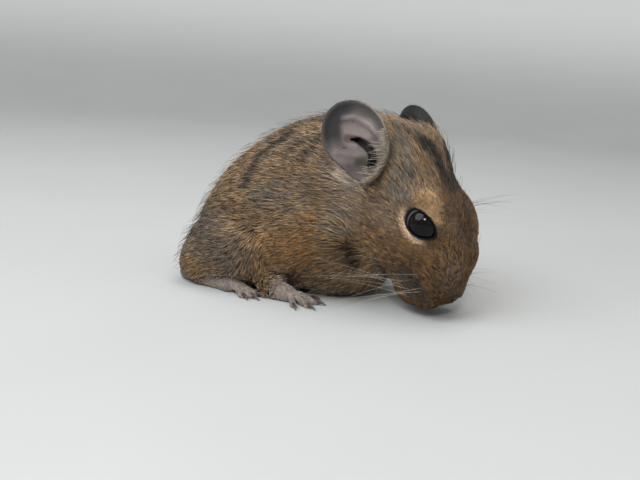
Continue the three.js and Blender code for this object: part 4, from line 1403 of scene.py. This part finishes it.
# Single hairs: whiskers, hairs of the ears and bristles of the toes
def hair_nodes():
    """A tree that puts one bent, tapering hair on every point, by the point's own turn and length."""
    tree = bpy.data.node_groups.new("single hairs", "GeometryNodeTree")
    sockets = {}
    for name, kind in (
        ("Points", "Geometry"), ("Thickness", "Float"), ("Bend", "Float"), ("Unevenness", "Float"),
        ("Seed", "Int"), ("Material", "Material"),
    ):
        socket = tree.interface.new_socket(name, in_out="INPUT", socket_type=f"NodeSocket{kind}")
        sockets[name] = socket.identifier
    tree.interface.new_socket("Hairs", in_out="OUTPUT", socket_type="NodeSocketGeometry")
    nodes = Nodes(tree)
    given = nodes.new("NodeGroupInput", {}).outputs
    bend = Value(nodes, given["Bend"])
    middle = nodes.new("ShaderNodeCombineXYZ", {"X": 0.5, "Z": bend * 0.15})
    end = nodes.new("ShaderNodeCombineXYZ", {"X": 0.97, "Z": bend * -1})
    line = nodes.new("GeometryNodeCurveQuadraticBezier", {
        "Resolution": 9, "Start": (0, 0, 0), "Middle": middle.outputs[0], "End": end.outputs[0],
    })
    share = nodes.value("GeometryNodeSplineParameter", {}, "Factor")
    told = nodes.new("GeometryNodeStoreNamedAttribute", {
        "Geometry": line.outputs[0], "Name": "along", "Value": share,
    }, data_type="FLOAT", domain="POINT")
    radius = (1 - share * 0.88) * Value(nodes, given["Thickness"])
    profile = nodes.new("GeometryNodeCurvePrimitiveCircle", {"Resolution": 5, "Radius": 1.0})
    hair = nodes.new("GeometryNodeCurveToMesh", {
        "Curve": told.outputs[0], "Profile Curve": profile.outputs[0], "Scale": radius, "Fill Caps": True,
    })
    turn = nodes.new("GeometryNodeInputNamedAttribute", {"Name": "turn"}, data_type="FLOAT_VECTOR")
    size = nodes.new("GeometryNodeInputNamedAttribute", {"Name": "length"}, data_type="FLOAT")
    uneven = Value(nodes, given["Unevenness"])
    vary = nodes.value("FunctionNodeRandomValue", {"Seed": given["Seed"]}, 1, data_type="FLOAT")
    scale = (1 - uneven * vary) * Value(nodes, size.outputs[0])
    placed = nodes.new("GeometryNodeInstanceOnPoints", {
        "Points": given["Points"], "Instance": hair.outputs[0], "Rotation": turn.outputs[0],
        "Scale": nodes.new("ShaderNodeCombineXYZ", {"X": scale, "Y": scale, "Z": scale}).outputs[0],
    })
    real = nodes.new("GeometryNodeRealizeInstances", {"Geometry": placed.outputs[0]})
    dyed = nodes.new("GeometryNodeSetMaterial", {"Geometry": real.outputs[0], "Material": given["Material"]})
    nodes.new("NodeGroupOutput", {"Hairs": dyed.outputs[0]})
    return tree, sockets


hair_tree, hair_sockets = hair_nodes()


def new_hairs(name, places, ways, lengths, material, slot, **shape):
    """Hairs from places in mm along ways; Thickness, their radius, and Bend are shares of their length."""
    turns = []
    for way in ways:
        x = Vector(way).normalized()
        z = Vector((0.05, 0.02, 1)) - x * x.z
        z.normalize()
        y = z.cross(x).normalized()
        z = x.cross(y)
        turns.append(tuple(Matrix((x, y, z)).transposed().to_euler()))
    mesh = bpy.data.meshes.new(name)
    mesh.from_pydata([tuple(p) for p in (places + SHIFT) * MM], [], [])
    piece = bpy.data.objects.new(name, mesh)
    bpy.context.scene.collection.objects.link(piece)
    give(piece, "turn", "FLOAT_VECTOR", np.array(turns))
    give(piece, "length", "FLOAT", np.asarray(lengths) * MM)
    grow = piece.modifiers.new("hairs", "NODES")
    grow.node_group = hair_tree
    for socket, value in {"Unevenness": 0.3, "Material": material, **shape}.items():
        grow[hair_sockets[socket]] = value
    apply_modifiers(piece)
    for face in piece.data.polygons:
        face.use_smooth = True
    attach(piece, "root")


ROOT_DEPTH = 0.25


def onto_skin(p):
    """Places moved to just under the skin."""
    for _ in range(4):
        p = p - (read_at(coarse, COAT_STEP, p) + ROOT_DEPTH)[:, None] * slope_at(coarse, COAT_STEP, p)
    return p


WHISKER_ROOM = 9  # around the body
box_low = np.array(cad_box[0]) / MM - SHIFT - WHISKER_ROOM
box_high = np.array(cad_box[1]) / MM - SHIFT + WHISKER_ROOM
box_low[2] = 0.5  # above the floor


WHISKER_BEND = 0.08


def shortened(places, ways, lengths):
    """Lengths that keep each whisker's end, which sags, inside the room around the body."""
    ways = ways - [0, 0, WHISKER_BEND]
    with np.errstate(divide="ignore"):
        limits = np.where(ways > 0, (box_high - places) / ways, (box_low - places) / ways)
    return np.minimum(lengths, np.abs(limits).min(1))


# Sets of whiskers in the head's frame: place, way, the spread of each, count, lengths, and if they are pale
WHISKERS = [
    ((15.5, 7.2, -6.5), (-0.42, 0.62, -0.66), 1.6, 0.15, 8, (22, 40), True),
    ((14.5, 7.4, -8.5), (-0.62, 0.42, -0.66), 1.6, 0.12, 6, (16, 34), True),
    ((17.0, 6.0, -2.5), (0.25, 0.95, 0.25), 1.4, 0.22, 8, (10, 18), False),
    ((16.0, 7.0, -4.5), (-0.1, 1.0, 0.05), 1.4, 0.20, 6, (10, 18), False),
    ((12.0, 7.0, -10.0), (-0.55, 0.75, -0.35), 1.5, 0.22, 6, (5, 11), True),
    ((1.5, 8.4, 8.0), (0.25, 0.45, 0.87), 0.8, 0.14, 6, (16, 27), False),
    ((-4.0, 13.5, -5.0), (-0.2, 0.9, 0.1), 0.8, 0.15, 2, (8, 11), False),
]
dark_hair = hair_material("dark hair", (0.018, 0.013, 0.010), (0.035, 0.028, 0.024))
pale_hair = hair_material("pale hair", (0.36, 0.31, 0.25), (0.62, 0.59, 0.54))
grey_hair = hair_material("grey hair", (0.12, 0.115, 0.11), (0.25, 0.24, 0.23))
buff_hair = hair_material("buff hair", (0.17, 0.13, 0.09), (0.50, 0.43, 0.33))
for pale, name in ((False, "whiskers_dark"), (True, "whiskers_pale")):
    places, ways, lengths = [], [], []
    for at, aim, spread_at, spread_way, count, (low, high), is_pale in WHISKERS:
        if is_pale != pale:
            continue
        for sign in (-1, 1):
            q = mirrored(at, sign) + luck.normal(0, spread_at, (count, 3))
            places.append(from_head(q))
            way = unit(aim) + luck.normal(0, spread_way, (count, 3))
            ways.append(mirrored(way, sign) @ HEAD_AXES.T)
            lengths.append(luck.uniform(low, high, count))
    places, ways, lengths = onto_skin(np.vstack(places)), np.vstack(ways), np.concatenate(lengths)
    ways /= length_of(ways)[:, None]
    new_hairs(
        name, places, ways, shortened(places, ways, lengths), pale_hair if pale else dark_hair, "coat",
        Thickness=0.0013 if pale else 0.0026, Bend=WHISKER_BEND, Seed=11 if pale else 12,
    )

# Hairs of the ears: on their rims, across their openings, and from the cheek over their front edges.
# Each set: how many, angles from the top towards the front, shares of the way out, lean, lengths,
# thickness and material
EAR_HAIRS = {
    "ear_rim_hairs": (240, (-2.5, 2.5), (0.93, 1.0), None, (0.6, 1.3), 0.022, grey_hair),
    "ear_opening_hairs": (40, (1.62, 2.62), (0.86, 0.98), (0.9, 0.30, 0.28), (2.6, 5.0), 0.021, buff_hair),
    "ear_front_hairs": (420, (1.3, 2.85), (0.99, 1.05), (0.62, 0.20, 0.62), (1.6, 3.4), 0.030, buff_hair),
}
for name, (count, angles, shares, aim, sizes, thick, material) in EAR_HAIRS.items():
    places, ways, lengths = [], [], []
    for sign in (-1, 1):
        angle = -luck.uniform(*angles, count)
        share = luck.uniform(*shares, count) * ear_outline(angle)
        a = EAR_WIDTH / 2 * share * np.sin(angle)
        b = EAR_HEIGHT / 2 * share * np.cos(angle)
        if aim is None:
            outwards = luck.normal(0.2, 0.35, count)
            lean = np.column_stack([0.6 * np.sin(angle), 0.6 * np.cos(angle), outwards])
        else:
            lean = np.array(aim) + luck.normal(0, 0.12, (count, 3))
        c = ear_depth(a, b, ear_share(a, b)) - (1.0 if name == "ear_front_hairs" else 0.4)
        middle, axes = EARS[sign]
        q = middle + np.column_stack([a, b, c]) @ axes
        places.append(from_head(mirrored(q, sign)))
        ways.append(mirrored(lean @ axes, sign) @ HEAD_AXES.T)
        lengths.append(luck.uniform(*sizes, count))
    new_hairs(
        name, np.vstack(places), np.vstack(ways), np.concatenate(lengths), material, "ear_skin",
        Thickness=thick, Bend=0.15, Seed=21,
    )

# Bristles that reach over the claws
TOE_BRISTLES = 9
places, ways, lengths = [], [], []
for foot in FEET.values():
    for turn, root, reach, thick in foot["digits"]:
        for sign in (-1, 1):
            side_turn = luck.normal(0, 14, TOE_BRISTLES)
            for extra in side_turn:
                at = foot_place(foot, root, turn, reach - 0.2, 1.3 * thick)
                to = foot_place(foot, root, turn + extra, reach + 2.4, 1.3 * thick)
                places.append(mirrored(at, sign))
                ways.append(mirrored(to - at + [0, 0, 0.1], sign))
                lengths.append(luck.uniform(1.8, 3.0))
new_hairs(
    "toe_bristles", np.array(places), np.array(ways), lengths, pale_hair, "paw_skin",
    Thickness=0.018, Bend=0.2, Seed=31,
)


# Floor, light and camera
# Radii and heights in metres
FLOOR_PROFILE = [(0.45, 0.0), (0.60, 0.03), (0.72, 0.10), (0.80, 0.22), (0.84, 0.40), (0.86, 0.75)]
FLOOR_AROUND = 96


def new_floor():
    """A pale floor that curves up into a wall all round, so that it stands behind the body in any view."""
    material, nodes, surface = new_material("floor", Roughness=0.9, Specular_IOR_Level=0.2)
    place = nodes.value("ShaderNodeTexCoord", {}, "Object")
    soft = nodes.noise(place, 60)
    height = Value(nodes, nodes.new("ShaderNodeSeparateXYZ", {"Vector": place}).outputs["Z"])
    low = nodes.blend(soft, (0.45, 0.455, 0.45), (0.49, 0.495, 0.49))
    nodes.feed(surface["Base Color"], nodes.blend(height.smooth(0.0, 0.12), low, (0.88, 0.885, 0.87)))
    turn = full_turn(FLOOR_AROUND)
    rings = [
        np.column_stack([radius * np.cos(turn), radius * np.sin(turn), np.full(FLOOR_AROUND, height)])
        for radius, height in FLOOR_PROFILE
    ]
    points = np.vstack([[(0, 0, 0)], *rings]) / MM - SHIFT * [1, 1, 0]
    faces = ring_mesh(len(rings), FLOOR_AROUND, closed=False)
    floor = new_piece("floor", points, faces[:, ::-1], material)


new_floor()

CAMERA_TURN, CAMERA_RISE, CAMERA_ROLL = 22, 13, 4  # degrees
CAMERA_TARGET = np.array([0, 0, 24])
CAMERA_AWAY = 230
TARGET_PIXEL = (316, 193)
PICTURE = (640, 480)
PIXELS_PER_TAN = 874
SENSOR = 36

turn, rise, tip = np.radians([CAMERA_TURN, CAMERA_RISE, CAMERA_ROLL])
back = np.array([np.sin(turn) * np.cos(rise), -np.cos(turn) * np.cos(rise), np.sin(rise)])
level = np.array([np.cos(turn), np.sin(turn), 0])
upright = np.cross(back, level)
right = np.cos(tip) * level + np.sin(tip) * upright
above = np.cos(tip) * upright - np.sin(tip) * level
off_right = (TARGET_PIXEL[0] - PICTURE[0] / 2) / PIXELS_PER_TAN
off_up = (PICTURE[1] / 2 - TARGET_PIXEL[1]) / PIXELS_PER_TAN
eye_point = CAMERA_TARGET + CAMERA_AWAY * (back - off_right * right - off_up * above)
camera = bpy.data.objects.new("camera", bpy.data.cameras.new("camera"))
camera.data.sensor_width = SENSOR
camera.data.lens = PIXELS_PER_TAN * SENSOR / PICTURE[0]
camera.data.clip_start = 0.005
camera.matrix_world = Matrix(
    [[*row, (eye_point + SHIFT)[i] * MM] for i, row in enumerate(np.column_stack([right, above, back]))]
    + [[0, 0, 0, 1]]
)
bpy.context.scene.collection.objects.link(camera)
bpy.context.scene.camera = camera


def new_lamp(name, way, away, size, power, colour):
    """A soft round lamp that looks at the body from a direction."""
    lamp = bpy.data.objects.new(name, bpy.data.lights.new(name, "AREA"))
    lamp.data.shape = "DISK"
    lamp.data.size = size
    lamp.data.energy = power
    lamp.data.color = colour
    way = Vector(unit(way))
    lamp.location = way * away + Vector((0, 0, 0.024))
    lamp.rotation_euler = way.to_track_quat("Z", "Y").to_euler()
    bpy.context.scene.collection.objects.link(lamp)


COOL, WARM = (0.92, 0.96, 1.0), (1.0, 0.98, 0.95)
new_lamp("window", 0.65 * back + 0.75 * above - 0.55 * right, away=0.5, size=0.46, power=2.2, colour=COOL)
new_lamp("overhead", 0.15 * back + above + 0.2 * right, away=0.55, size=0.4, power=1.4, colour=WARM)
new_lamp("room", back + 0.42 * above + 0.02 * right, away=0.45, size=0.075, power=0.62, colour=WARM)
world = bpy.data.worlds.new("pale room")
world.use_nodes = True
sky = world.node_tree.nodes["Background"].inputs
sky["Color"].default_value = (0.80, 0.82, 0.84, 1)
sky["Strength"].default_value = 0.45
bpy.context.scene.world = world
bpy.context.scene.view_settings.view_transform = "Standard"
